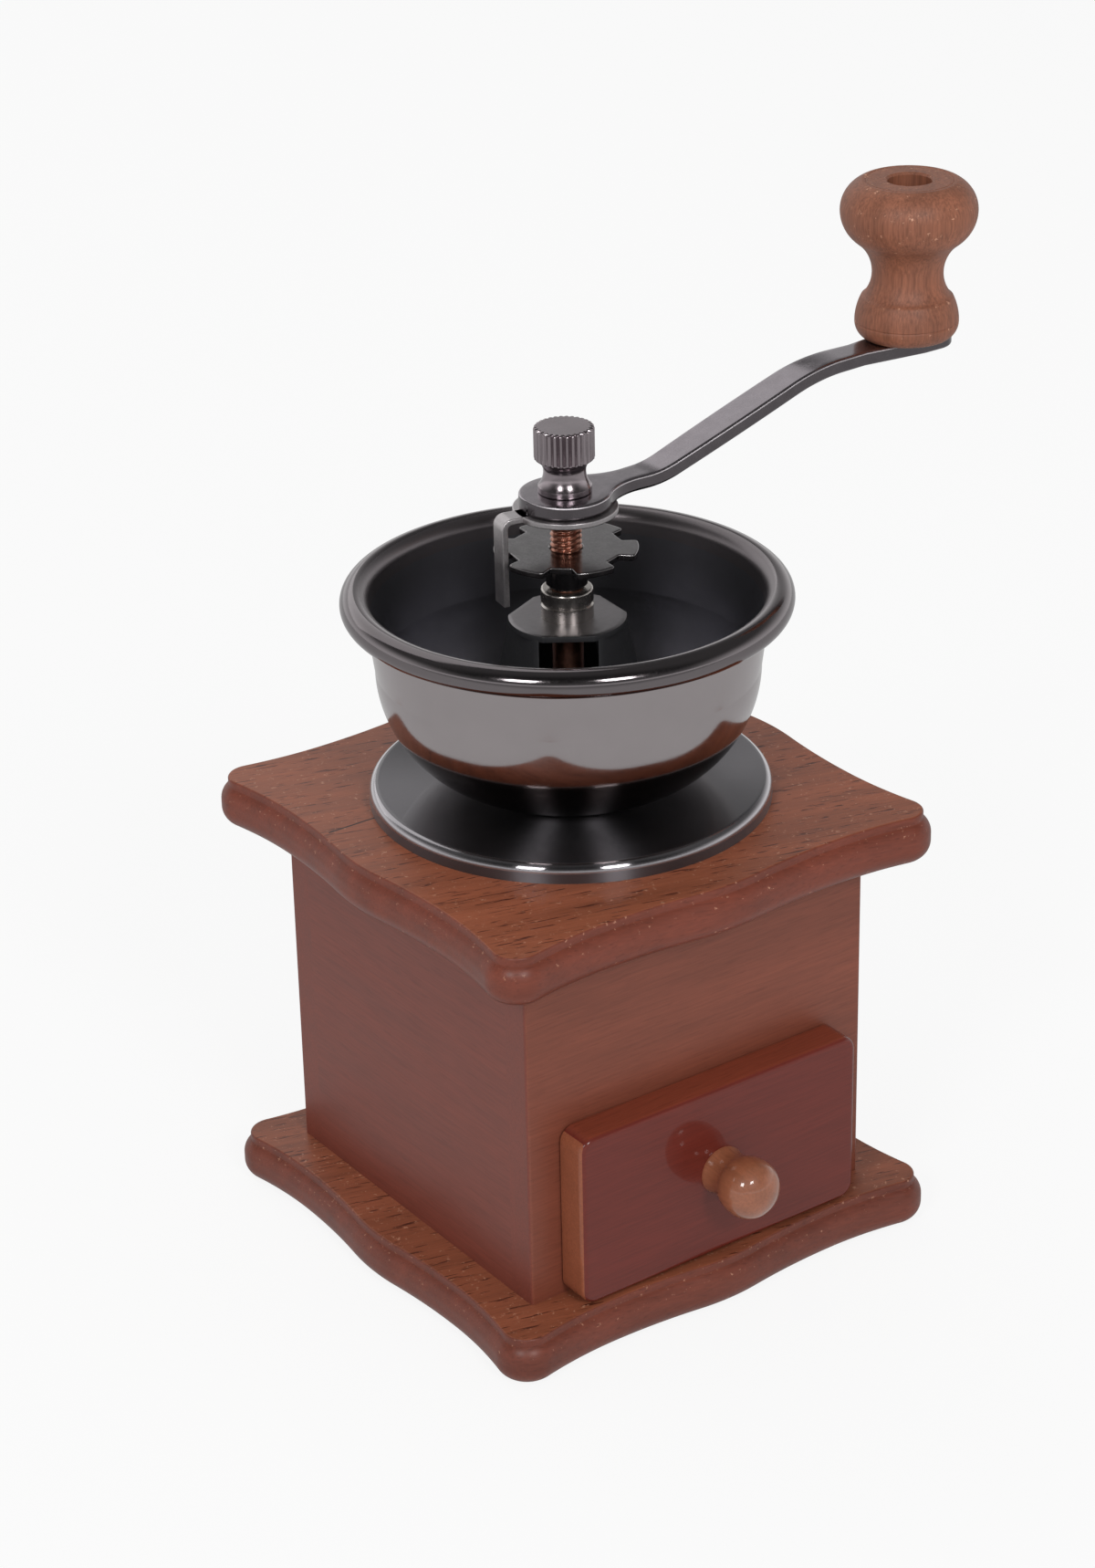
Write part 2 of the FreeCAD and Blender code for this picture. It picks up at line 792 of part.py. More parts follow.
def bridge_bracket():
    """The cast bridge: a foot ring, legs that lean inwards and a top disc, cut straight over each window.

    Its first window is cut at +Y, and the finished body is turned.
    """
    under_disc = bridge_top - d.disc_thick
    body = turned_body(
        "bridge_bracket", (d.throat_radius, bridge_foot), (d.ring_radius, bridge_foot),
        (d.ring_radius, ring_top), (d.leg_foot_radius, ring_top), (d.leg_top_radius, under_disc),
        (d.leg_top_radius, bridge_top), (d.bush_spigot, bridge_top), (d.bush_spigot, under_disc),
        (d.leg_top_radius - d.leg_thick, under_disc), (d.leg_foot_radius - d.leg_thick, ring_top),
        (d.throat_radius, ring_top))
    window = new_sketch(body, "window", "XZ_Plane")
    half = d.window_width / 2
    draw_box(window, -half, ring_top, half, under_disc)
    cut = sink(body, window, d.ring_radius)
    repeat(body, cut, d.leg_count)
    chord = new_sketch(body, "chord", "XY_Plane", bridge_top)
    draw_box(chord, -half, d.disc_chord, half, d.ring_radius)
    trim = sink(body, chord, d.disc_thick)
    repeat(body, trim, d.leg_count)
    holes = new_sketch(body, "screw_holes", "XY_Plane")
    for number in range(SIZES["leg_count"]):
        x, y = around(d.bridge_screw_circle, 90 + number * 360 / d.leg_count)
        draw_circle(holes, x, y, d.bridge_screw_shank)
    pocket(body, holes)
    turn_about_z(body, d.window_angle + 270)


def bridge_screws():
    single = screw("bridge_screw", d.bridge_screw_shank, d.bridge_screw_head, d.bridge_screw_head_height,
                   d.bridge_screw_length, ring_top)
    group("bridge_screws", single, bridge_screw_places())


def upper_bush():
    """The collar that the setting nut runs on, pressed into the bridge's disc."""
    bore = d.spindle_radius + d.running_fit
    foot = bridge_top - d.bush_spigot_depth
    turned_body(
        "upper_bush", (bore, foot), (d.bush_spigot, foot), (d.bush_spigot, bridge_top),
        (d.bush_radius, bridge_top), (d.bush_radius, bush_top - d.bush_round),
        left(d.bush_radius - d.bush_round, bush_top, d.bush_round), (bore, bush_top))


def strap_screw_places():
    return [(-d.strap_screw_place, Size(0)), (d.strap_screw_place, Size(0))]


def lower_strap():
    """A flat strap across the ring burr's foot that carries the lower bush."""
    body = new_body("lower_strap")
    plan = new_sketch(body, "plan", "XY_Plane", burr_foot - d.strap_thick)
    half = d.strap_length / 2
    side = d.strap_width / 2
    draw_box(plan, -half, -side, half, side)
    draw_circle(plan, 0, 0, d.strap_bush_radius)
    for x, y in strap_screw_places():
        draw_circle(plan, x, y, d.strap_screw_shank)
    pad(body, plan, d.strap_thick)


def lower_bush():
    bore = d.spindle_radius + d.running_fit
    top = burr_foot + d.strap_bush_rise
    foot = top - d.strap_bush_height
    turned_body("lower_bush", (bore, foot), (d.strap_bush_radius, foot), (d.strap_bush_radius, burr_foot),
                (d.strap_bush_flange, burr_foot), (d.strap_bush_flange, top), (bore, top))


def strap_screws():
    single = screw("strap_screw", d.strap_screw_shank, d.strap_screw_head, d.strap_screw_head_height,
                   d.strap_screw_depth + d.strap_thick, burr_foot - d.strap_thick, upward=True)
    group("strap_screws", single, strap_screw_places())


def star_wheel():
    """The setting nut: a star plate with six notches on a round hub, screwed on to the spindle."""
    bore = d.spindle_radius + d.running_fit
    plate_foot = d.star_top - d.star_thick
    hub_foot = bush_top + d.star_lift
    body = turned_body(
        "star_wheel", (bore, hub_foot), (d.star_hub_radius - d.star_hub_chamfer, hub_foot),
        (d.star_hub_radius, hub_foot + d.star_hub_chamfer), (d.star_hub_radius, plate_foot),
        (d.star_radius, plate_foot), (d.star_radius, d.star_top), (bore, d.star_top))
    notch = new_sketch(body, "notch", "XY_Plane", d.star_top)
    over = d.star_radius + (d.star_radius - d.notch_floor)
    mouth = d.notch_mouth_half * 2 - d.notch_floor_half
    draw(notch, (d.notch_floor, -d.notch_floor_half), (over, -mouth), (over, mouth),
         (d.notch_floor, d.notch_floor_half))
    cut = sink(body, notch, d.star_thick)
    repeat(body, cut, d.star_notches)
    tip = float(d.star_radius)

    def lobe_corner(edge):
        box = edge.BoundBox
        middle = math.hypot(box.Center.x, box.Center.y)
        return box.ZLength > 1 and box.XLength < 1e-6 and box.YLength < 1e-6 and abs(middle - tip) < 1e-4
    round_edges(body, d.notch_round, lobe_corner)
    turn_about_z(body, d.tab_angle)


def flats(sketch, angle=0):
    """The spindle's two flats, or the hole that fits over them, turned by an angle about Z."""
    radius = d.spindle_radius
    half = d.flat_half
    chord = (radius * radius - half * half).root()
    angle = as_size(angle)

    def turned(x, y):
        return x * angle.cos() - y * angle.sin(), x * angle.sin() + y * angle.cos()
    draw(sketch, turned(-chord, -half), turned(chord, -half), left(*turned(chord, half), radius),
         turned(-chord, half), left(*turned(-chord, -half), radius))


def spindle():
    """The upright shaft, with two flats at the top for the locking washer and the crank."""
    body = new_body("spindle")
    shaft = new_sketch(body, "shaft", "XY_Plane", d.spindle_foot)
    draw_circle(shaft, 0, 0, d.spindle_radius)
    pad(body, shaft, d.flat_foot - d.spindle_foot)
    upper = new_sketch(body, "flats", "XY_Plane", d.flat_foot)
    flats(upper)
    pad(body, upper, d.spindle_top - d.flat_foot)
    pin_bore(body)


def pin_bore(body):
    bore = new_sketch(body, "pin_bore", "XZ_Plane")
    draw_circle(bore, 0, d.pin_height, d.pin_radius)
    pocket(body, bore)


def cone_burr():
    """The turning burr: a breaker cone above a steeper grinding cone, both with cut teeth."""
    body = turned_body(
        "cone_burr", (d.spindle_radius, d.cone_foot), (d.cone_foot_radius, d.cone_foot),
        (d.cone_shoulder_radius, d.cone_shoulder), (d.cone_top_radius, d.cone_top),
        (d.spindle_radius, d.cone_top))
    over = d.flute_run_out
    width = d.flute_half * 2
    fine_slope = (d.cone_foot_radius - d.cone_shoulder_radius) / (d.cone_shoulder - d.cone_foot)
    foot_radius = d.cone_foot_radius + fine_slope * over
    foot = (d.cone_foot - over, foot_radius - d.flute_depth, foot_radius + d.flute_depth, width)
    shoulder_radius = d.cone_shoulder_radius - fine_slope * over
    shoulder = (d.cone_shoulder + over, shoulder_radius - d.flute_depth / 2,
                d.cone_shoulder_radius + d.flute_depth, width)
    teeth = flute(body, "teeth", foot, shoulder, d.flute_skew)
    repeat(body, teeth, d.cone_flutes)
    width = d.breaker_half * 2
    open_by = d.breaker_depth * 2
    low = (d.cone_shoulder - over, d.cone_shoulder_radius + over / 2, d.cone_shoulder_radius + open_by, width)
    high = (d.cone_top + over, d.cone_top_radius - over / 2, d.cone_top_radius + open_by, width)
    breakers = flute(body, "breakers", low, high, d.flute_skew * 2)
    repeat(body, breakers, d.breaker_flutes)
    pin_bore(body)


def burr_pin():
    """The cross pin that drives the cone burr."""
    body = new_body("burr_pin")
    section = new_sketch(body, "section", "XZ_Plane")
    draw_circle(section, 0, d.pin_height, d.pin_radius)
    pad(body, section, d.cone_top_radius * 2, both=True)


def lock_plate():
    """A washer keyed to the spindle; its long tab bends down into a notch of the star wheel.

    It is drawn with the tab along +X and turned last, so the hole over the flats is turned back first.
    """
    body = new_body("lock_plate")
    top = d.lock_foot + d.lock_thick
    plan = new_sketch(body, "plan", "XY_Plane", d.lock_foot)
    draw_circle(plan, 0, 0, d.lock_radius)
    pad(body, plan, d.lock_thick)
    tab = new_sketch(body, "tab", "XZ_Plane")
    inner = d.tab_reach - d.lock_thick
    inner_bend = d.tab_bend - d.lock_thick
    root = d.lock_radius / 2
    draw(tab, (root, d.lock_foot), (inner - inner_bend, d.lock_foot),
         right(inner, d.lock_foot - inner_bend, inner_bend), (inner, d.tab_end), (d.tab_reach, d.tab_end),
         (d.tab_reach, top - d.tab_bend), left(d.tab_reach - d.tab_bend, top, d.tab_bend), (root, top))
    pad(body, tab, d.tab_half * 2, both=True)
    hole = new_sketch(body, "hole", "XY_Plane")
    flats(hole, -d.tab_angle)
    pocket(body, hole)
    turn_about_z(body, d.tab_angle)


def crank_arm():
    """A flat bar: an eye on the spindle, a double bend that rises, and a widened end under the knob."""
    body = new_body("crank_arm")
    profile = new_sketch(body, "profile", "XZ_Plane")
    run = d.bend_end - d.bend_start
    length = (run * run + d.arm_rise * d.arm_rise).root()
    lean = (length - run) / d.arm_rise
    tangent = d.bend_radius * lean
    inner = d.bend_radius
    outer = d.bend_radius + d.arm_thick
    outer_tangent = outer * lean
    ux, uz = run / length, d.arm_rise / length
    shift = d.arm_thick * lean
    start, end = d.bend_start, d.bend_end
    low_start, low_end = start + shift, end + shift
    draw(profile,
         (-d.eye_radius, arm_foot), (low_start - outer_tangent, arm_foot),
         left(low_start + outer_tangent * ux, arm_foot + outer_tangent * uz, outer),
         (low_end - tangent * ux, arm_foot + d.arm_rise - tangent * uz),
         right(low_end + tangent, arm_foot + d.arm_rise, inner), (d.arm_end, arm_foot + d.arm_rise),
         (d.arm_end, arm_end_top), (end + outer_tangent, arm_end_top),
         left(end - outer_tangent * ux, arm_end_top - outer_tangent * uz, outer),
         (start + tangent * ux, arm_top + tangent * uz),
         right(start - tangent, arm_top, inner), (-d.eye_radius, arm_top))
    pad(body, profile, d.eye_radius * 2, both=True)
    trim = new_sketch(body, "trim", "XY_Plane")
    margin = d.arm_thick
    draw_box(trim, -d.eye_radius - margin, -d.eye_radius - margin, d.arm_end + margin, d.eye_radius + margin)
    arm_plan(trim)
    pocket(body, trim)
    round_edges(body, d.arm_round, lambda edge: edge.BoundBox.XLength > 1e-6)
    holes = new_sketch(body, "holes", "XY_Plane")
    flats(holes)
    draw_circle(holes, d.crank_reach, 0, d.axle_radius)
    pocket(body, holes)


def arm_plan(sketch):
    """The bar seen from above: a round eye, hollow shoulders, a straight bar and a rounded wider end."""
    fillet = d.neck_round
    bar = d.arm_half
    eye = d.eye_radius
    hollow_x = ((eye + fillet) * (eye + fillet) - (bar + fillet) * (bar + fillet)).root()
    share = eye / (eye + fillet)
    touch_x, touch_y = hollow_x * share, (bar + fillet) * share
    tip = d.arm_end_half
    tip_x = d.arm_end - tip
    draw(sketch, (touch_x, -touch_y), right(hollow_x, -bar, fillet), (d.flare_start, -bar),
         (d.flare_end, -tip), (tip_x, -tip), left(d.arm_end, 0, tip), left(tip_x, tip, tip),
         (d.flare_end, tip), (d.flare_start, bar), (hollow_x, bar), right(touch_x, touch_y, fillet),
         left(-eye, 0, eye), left(touch_x, -touch_y, eye))


def knob_axle():
    """The rivet that the knob turns on, with its head sunk in the knob's top hole."""
    foot = arm_end_top - d.arm_thick
    head_foot = knob_floor() + d.knob_gap
    body = turned_body(
        "knob_axle", (0, foot - d.axle_rivet), (d.axle_head_radius, foot - d.axle_rivet),
        (d.axle_head_radius, foot), (d.axle_radius, foot), (d.axle_radius, head_foot),
        (d.axle_head_radius, head_foot), (d.axle_head_radius, head_foot + d.axle_head),
        (0, head_foot + d.axle_head))
    bind(body, "Placement.Base.x", d.crank_reach)


def knob_foot():
    return arm_end_top + d.knob_gap


def knob_floor():
    """The floor of the hole in the knob's top, where the axle's head runs."""
    return knob_foot() + d.knob_height - d.knob_hole_depth


def upright_arc(across, along):
    """Radius of an arc that starts parallel to the axis and then moves by across while it climbs along."""
    return (across * across + along * along) / (2 * across)


def crank_knob():
    """The turned wooden knob: a bulging foot, a slim neck between two small steps and a flat-topped head.

    Each curve runs parallel to the axis where the knob is widest or slimmest.
    """
    foot = knob_foot()
    top = foot + d.knob_height
    bore = d.axle_radius + d.axle_bore_gap
    bulge, bulge_height = d.knob_bulge_radius, foot + d.knob_bulge_place
    ledge, ledge_height = d.knob_ledge_radius, foot + d.knob_ledge_place
    neck, neck_height = d.knob_neck_radius, foot + d.knob_neck_place
    collar, collar_height = d.knob_collar_radius, foot + d.knob_collar_place
    belly, belly_height = d.knob_belly_radius, foot + d.knob_belly_place
    under = ledge - d.knob_step
    over = collar - d.knob_step
    body = turned_body(
        "crank_knob", (bore, foot), (d.knob_foot_radius, foot),
        left(bulge, bulge_height, upright_arc(bulge - d.knob_foot_radius, d.knob_bulge_place)),
        left(ledge, ledge_height, upright_arc(bulge - ledge, ledge_height - bulge_height)),
        (under, ledge_height),
        right(neck, neck_height, upright_arc(under - neck, neck_height - ledge_height)),
        right(over, collar_height, upright_arc(over - neck, collar_height - neck_height)),
        (collar, collar_height),
        left(belly, belly_height, upright_arc(belly - collar, belly_height - collar_height)),
        left(d.knob_top_radius, top, upright_arc(belly - d.knob_top_radius, top - belly_height)),
        (d.knob_hole_radius, top), (d.knob_hole_radius, knob_floor()), (bore, knob_floor()))
    bind(body, "Placement.Base.x", d.crank_reach)


def thumb_nut():
    """The turned nut that clamps the crank: a foot, a hollow waist and a fluted head."""
    foot = arm_top + d.running_fit
    top = foot + d.nut_height
    bore = d.spindle_radius + d.running_fit
    body = turned_body(
        "thumb_nut", (bore, foot), (d.nut_foot_radius, foot), (d.nut_foot_radius, foot + d.nut_foot),
        right(d.nut_waist_radius, foot + d.nut_waist, d.nut_foot_round),
        right(d.nut_head_radius, foot + d.nut_head_foot, d.nut_head_round),
        (d.nut_head_radius, top - d.nut_top_round),
        left(d.nut_head_radius - d.nut_top_round, top, d.nut_top_round),
        (0, top), (0, foot + d.nut_bore_depth), (bore, foot + d.nut_bore_depth))
    groove = new_sketch(body, "groove", "XY_Plane", top)
    draw_circle(groove, d.nut_head_radius, 0, d.nut_flute_radius)
    cut = sink(body, groove, d.nut_height - d.nut_head_foot)
    repeat(body, cut, d.nut_flutes)


def drawer_front():
    """The face of the drawer, which overlaps its opening on three sides."""
    body = new_body("drawer_front")
    foot = wall_foot + d.front_lift
    top = foot + d.front_height
    half = d.front_width / 2
    corner = d.front_corner
    face = new_sketch(body, "face", "XZ_Plane", drawer_face)
    draw(face, (-half + corner, foot), (half - corner, foot), left(half, foot + corner, corner),
         (half, top - corner), left(half - corner, top, corner), (-half + corner, top),
         left(-half, top - corner, corner), (-half, foot + corner), left(-half + corner, foot, corner))
    pad(body, face, d.front_thick)
    face_y = -float(drawer_face + d.front_thick)
    round_edges(body, d.front_round, lambda edge: abs(edge.BoundBox.YMax - face_y) < 1e-4)
    hole = new_sketch(body, "hole", "XZ_Plane")
    draw_circle(hole, 0, pull_height, d.pull_screw_radius)
    pocket(body, hole)


def drawer_board(label, x0, y0, x1, y1, height):
    """A board of the drawer's box, upright or lying, on the drawer's underside."""
    body = new_body(label)
    plan = new_sketch(body, "plan", "XY_Plane", wall_foot + d.drawer_lift)
    draw_box(plan, x0, y0, x1, y1)
    pad(body, plan, height)


def drawer_box():
    half = d.drawer_width / 2
    inner = half - d.drawer_board
    back = d.drawer_end - d.drawer_board
    drawer_board("drawer_left_side", -half, -drawer_face, -inner, d.drawer_end, d.drawer_height)
    drawer_board("drawer_right_side", inner, -drawer_face, half, d.drawer_end, d.drawer_height)
    drawer_board("drawer_back", -inner, back, inner, d.drawer_end, d.drawer_height)
    drawer_board("drawer_bottom", -inner, -drawer_face, inner, back, d.drawer_floor)


def drawer_pull():
    """The turned wooden pull: a foot, a slim neck and a ball; turned upright, then laid to point at -Y."""
    ball = d.pull_ball_radius
    neck_end = d.pull_ball_place - (ball * ball - d.pull_neck_radius * d.pull_neck_radius).root()
    tip = d.pull_ball_place + ball
    body = turned_body(
        "drawer_pull", (d.pull_screw_radius, 0), (d.pull_foot_radius, 0), (d.pull_foot_radius, d.pull_foot),
        right(d.pull_neck_radius, d.pull_neck, d.pull_foot_round), (d.pull_neck_radius, neck_end),
        left(ball, d.pull_ball_place, ball), left(0, tip, ball), (0, d.pull_bore_depth),
        (d.pull_screw_radius, d.pull_bore_depth))
    lay_forward(body, drawer_face + d.front_thick)


def lay_forward(body, place):
    """Lays a body made upright so that its top points at -Y, its foot that far in front of the middle."""
    lean = FreeCAD.Rotation(FreeCAD.Vector(1, 0, 0), 90)
    body.Placement = FreeCAD.Placement(FreeCAD.Vector(0, -float(place), float(pull_height)), lean)
    bind(body, "Placement.Base.y", -place)
    bind(body, "Placement.Base.z", pull_height)


def pull_screw():
    """The screw from inside the drawer that holds the pull."""
    length = d.front_thick + d.pull_bore_depth
    body = turned_body(
        "pull_screw", (0, -d.pull_screw_head_height), (d.pull_screw_head, -d.pull_screw_head_height),
        (d.pull_screw_head, 0), (d.pull_screw_radius, 0), (d.pull_screw_radius, length), (0, length))
    lay_forward(body, drawer_face)


base_plate()
end_wall("front_wall", -1, opening=True)
end_wall("back_wall", 1, opening=False)
side_wall("left_wall", -1)
side_wall("right_wall", 1)
base_screws()
top_plate()
ring_burr()
burr_screws()
skirt_ring()
hopper_bowl()
bridge_bracket()
bridge_screws()
upper_bush()
lower_strap()
lower_bush()
strap_screws()
star_wheel()
spindle()
cone_burr()
burr_pin()
lock_plate()
crank_arm()
knob_axle()
crank_knob()
thumb_nut()
drawer_front()
drawer_box()
drawer_pull()
pull_screw()
doc.recompute()

# Every object has to be sound before any file is written
for item in doc.Objects:
    if "Invalid" in item.State or "Error" in item.State:
        raise RuntimeError(f"{item.Name} failed: {item.State}")
for node in nodes:
    if node.Shape.isNull() or not node.Shape.isValid():
        raise RuntimeError(f"{node.Label} has no sound shape")

os.makedirs("parts", exist_ok=True)
for node in nodes:
    node.Shape.exportStep(os.path.join("parts", f"{node.Label}.step"))
    box = node.Shape.BoundBox
    size = f"{box.XLength:.1f} x {box.YLength:.1f} x {box.ZLength:.1f} mm"
    print(f"{node.Label}: {len(node.Shape.Solids)} solid, {node.Shape.Volume:.1f} mm3, {size}")
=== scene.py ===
import math

import bmesh
import bpy
import numpy as np
from mathutils import Matrix, Vector


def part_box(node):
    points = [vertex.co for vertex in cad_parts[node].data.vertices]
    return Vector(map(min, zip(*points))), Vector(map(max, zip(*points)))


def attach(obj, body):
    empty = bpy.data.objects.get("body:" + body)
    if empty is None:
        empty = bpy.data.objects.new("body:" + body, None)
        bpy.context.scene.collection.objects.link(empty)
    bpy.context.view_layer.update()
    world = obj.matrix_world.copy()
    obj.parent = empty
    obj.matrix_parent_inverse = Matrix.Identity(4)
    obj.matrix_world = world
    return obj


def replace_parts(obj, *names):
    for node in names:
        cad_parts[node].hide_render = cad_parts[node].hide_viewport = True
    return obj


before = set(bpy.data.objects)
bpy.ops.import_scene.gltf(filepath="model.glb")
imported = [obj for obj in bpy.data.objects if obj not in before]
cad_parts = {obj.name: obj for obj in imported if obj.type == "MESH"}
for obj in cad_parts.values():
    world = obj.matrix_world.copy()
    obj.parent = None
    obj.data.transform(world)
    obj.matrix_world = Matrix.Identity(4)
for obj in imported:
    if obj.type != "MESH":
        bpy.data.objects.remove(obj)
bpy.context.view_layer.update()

# Base board
# The lower of two plates of solid beech, sawn to a wavy outline and routed to a rounded nose with a small
# step above it, then stained red-brown and lacquered. The box stands on it, held by four screws.
MM = 0.001  # sizes here are in millimetres, and meshes and textures in metres


def trace(start, *stops, spacing=0.35, support=0.12, widest=0.2):
    """Points from stop to stop along straight runs and arcs.

    A stop (x, y) ends a straight run, which has a point near each end to keep it flat beside a round. A
    stop (x, y, radius) ends an arc, which turns left if radius is positive. Its centre stands off the
    chord's middle by the root of radius squared less half the chord squared, and its points are at most
    spacing apart, and at most widest in radians.
    """
    line = [np.array([start], float)]
    for stop in stops:
        first, last = line[-1][-1], np.array(stop[:2], float)
        chord = last - first
        length = np.hypot(*chord)
        if len(stop) == 2:
            shares = [support / length, 1 - support / length, 1] if length > 4 * support else [1]
            line.append(first + np.array(shares)[:, None] * chord)
            continue
        radius = stop[2]
        stand = math.sqrt(max(radius ** 2 - (length / 2) ** 2, 0)) * np.sign(radius)
        centre = (first + last) / 2 + stand * np.array([-chord[1], chord[0]]) / length
        sweep = 2 * math.asin(min(length / 2 / abs(radius), 1)) * np.sign(radius)
        count = max(math.ceil(abs(sweep * radius) / spacing), math.ceil(abs(sweep) / widest), 2)
        angle = math.atan2(*(first - centre)[::-1]) + sweep * np.arange(1, count + 1) / count
        line.append(centre + abs(radius) * np.stack([np.cos(angle), np.sin(angle)], 1))
    return np.concatenate(line)


def rimmed(outline, profile):
    """Carries a profile of (inset, height) round a closed outline; insets follow the outline's normal."""
    along = np.roll(outline, -1, 0) - np.roll(outline, 1, 0)
    along /= np.linalg.norm(along, axis=1, keepdims=True)
    inward = np.stack([-along[:, 1], along[:, 0]], 1)
    flat = outline + profile[:, 0, None, None] * inward
    height = np.broadcast_to(profile[:, 1, None, None], flat.shape[:2] + (1,))
    return np.concatenate([flat, height], 2)


def poles(grid):
    """Closes a grid of rows: the first and the last row each shrink to their middle."""
    first, last = (np.broadcast_to(row.mean(0), (1,) + row.shape) for row in (grid[0], grid[-1]))
    return np.concatenate([first, grid, last])


def surface(name, *grids, crease=32, merge=0.002, sliver=0.0005):
    """A mesh object from closed grids of points, rows by columns by 3, whose last column meets the first.

    A grid's faces look outwards if its volume, the sum of a . (b x c) over its triangles, is positive.
    Points closer than merge become one, faces thinner than sliver go, and edges bent by more than crease
    degrees are sharp.
    """
    points, faces, count = [], [], 0
    for grid in grids:
        rows, columns = grid.shape[:2]
        index = np.arange(rows * columns).reshape(rows, columns)
        ring = np.roll(index, -1, 1)
        quads = np.stack([index[:-1], ring[:-1], ring[1:], index[1:]], -1).reshape(-1, 4)
        a, b, c, d = np.moveaxis(grid.reshape(-1, 3)[quads], 1, 0)
        volume = np.sum(a * np.cross(b, c)) + np.sum(a * np.cross(c, d))
        points.append(grid.reshape(-1, 3) * MM)
        faces.append((quads if volume > 0 else quads[:, ::-1]) + count)
        count += rows * columns
    mesh = bpy.data.meshes.new(name)
    mesh.from_pydata(np.concatenate(points), [], np.concatenate(faces))
    work = bmesh.new()
    work.from_mesh(mesh)
    bmesh.ops.remove_doubles(work, verts=work.verts, dist=merge * MM)
    bmesh.ops.dissolve_degenerate(work, edges=work.edges, dist=sliver * MM)
    work.to_mesh(mesh)
    work.free()
    mesh.shade_smooth()
    mesh.set_sharp_from_angle(angle=math.radians(crease))
    piece = bpy.data.objects.new(name, mesh)
    bpy.context.scene.collection.objects.link(piece)
    return piece


def wavy_outline(half, wave=1.8, valley=25.0, bulge=45.0, corner=6.0, setback=0.1):
    """A plate's outline: each side has a bulge, two valleys and half of two corners, all tangent arcs.

    Two tangent arcs meet on the line between their centres, at the share of it that their radii give.
    """
    floor = half - wave
    inner = (valley ** 2 + wave ** 2) / (2 * wave) - bulge
    pivot = half - setback - corner
    across, rise = pivot - valley, floor - pivot
    outer = (across ** 2 + rise ** 2 - corner ** 2) / (2 * (corner - rise))
    share = bulge / (bulge + inner)
    bulge_x, bulge_y = valley * share, half - bulge + (floor + inner - half + bulge) * share
    share = corner / (corner + outer)
    corner_x, corner_y = pivot + (valley - pivot) * share, pivot + (floor + outer - pivot) * share
    side = np.array([
        (-valley, -floor, -outer), (-bulge_x, -bulge_y, -inner), (bulge_x, -bulge_y, bulge),
        (valley, -floor, -inner), (corner_x, -corner_y, -outer), (corner_y, -corner_x, corner)])
    stops = []
    for _ in range(4):
        stops += list(side)
        side = np.stack([-side[:, 1], side[:, 0], side[:, 2]], 1)
    return trace((-corner_x, -corner_y), *stops)[:-1]


def plate_rim(foot, nose=3.6, nose_height=8.6, step=1.45, step_round=0.4, height=9.5, land=6.0):
    """A plate's edge as (inset, height) from its underside to its top: the round nose, then the step."""
    shoulder = nose_height - nose + math.sqrt(nose ** 2 - (nose - step) ** 2)
    rim = trace((land, 0), (nose, 0), (0, nose, -nose), (0, nose_height - nose), (step, shoulder, -nose),
                (step, height - step_round), (step + step_round, height, -step_round), (land, height))
    return rim + [0, foot]


def linear(code):
    """A colour written as sRGB hex, as linear red, green, blue and alpha."""
    parts = [int(code[i:i + 2], 16) / 255 for i in (1, 3, 5)]
    return (*[p / 12.92 if p <= 0.04045 else ((p + 0.055) / 1.055) ** 2.4 for p in parts], 1.0)


def add(tree, kind, links=(), out=0, **settings):
    """Adds a node and gives one of its outputs.

    settings are the node's properties, and links its inputs, each with a socket or a value.
    """
    new = tree.nodes.new("ShaderNode" + kind)
    for name, value in settings.items():
        setattr(new, name, value)
    for name, value in dict(links).items():
        if isinstance(value, bpy.types.NodeSocket):
            tree.links.new(value, new.inputs[name])
        else:
            new.inputs[name].default_value = value
    return new.outputs[out] if new.outputs else new


def maths(tree, operation, *values):
    """A sum on one, two or three values."""
    return add(tree, "Math", dict(enumerate(values)), operation=operation)


def spread(tree, value, low, high, to_low=0.0, to_high=1.0, **settings):
    """Maps low to to_low and high to to_high, and holds what lies beyond them."""
    ends = {"From Min": low, "From Max": high, "To Min": to_low, "To Max": to_high}
    return add(tree, "MapRange", {"Value": value, **ends}, **settings)


def blend(tree, share, first, second):
    """Mixes two colours, each a socket or written as hex."""
    first, second = (linear(colour) if isinstance(colour, str) else colour for colour in (first, second))
    return add(tree, "Mix", {0: share, 6: first, 7: second}, data_type="RGBA", out=2)


def dimmed(tree, colour, share):
    """A colour, a socket or written as hex, times a share."""
    colour = linear(colour)[:3] if isinstance(colour, str) else colour
    return add(tree, "VectorMath", {0: colour, "Scale": share}, operation="SCALE")


def noise(tree, where, size, **shape):
    """Noise in cells of one size in millimetres."""
    return add(tree, "TexNoise", {"Vector": where, "Scale": 1 / (size * MM), **shape})


def bumps(tree, height, strength, depth):
    """The normal of a surface with fine relief, whose depth is in millimetres."""
    return add(tree, "Bump", {"Height": height, "Strength": strength, "Distance": depth * MM})


def part(tree, vector, axis):
    """One of a vector's three numbers."""
    return add(tree, "SeparateXYZ", {"Vector": vector}, out=axis)


def finish_of(name):
    """A new material that has no shader yet, with its node tree and the place on the piece."""
    made = bpy.data.materials.new(name)
    made.use_nodes = True
    made.node_tree.nodes.clear()
    return made, made.node_tree, add(made.node_tree, "TexCoord", out="Object")


def shade(tree, **inputs):
    """The main shader of a material, its inputs named with _ for a space."""
    links = {name.replace("_", " "): value for name, value in inputs.items()}
    add(tree, "OutputMaterial", {"Surface": add(tree, "BsdfPrincipled", links)})


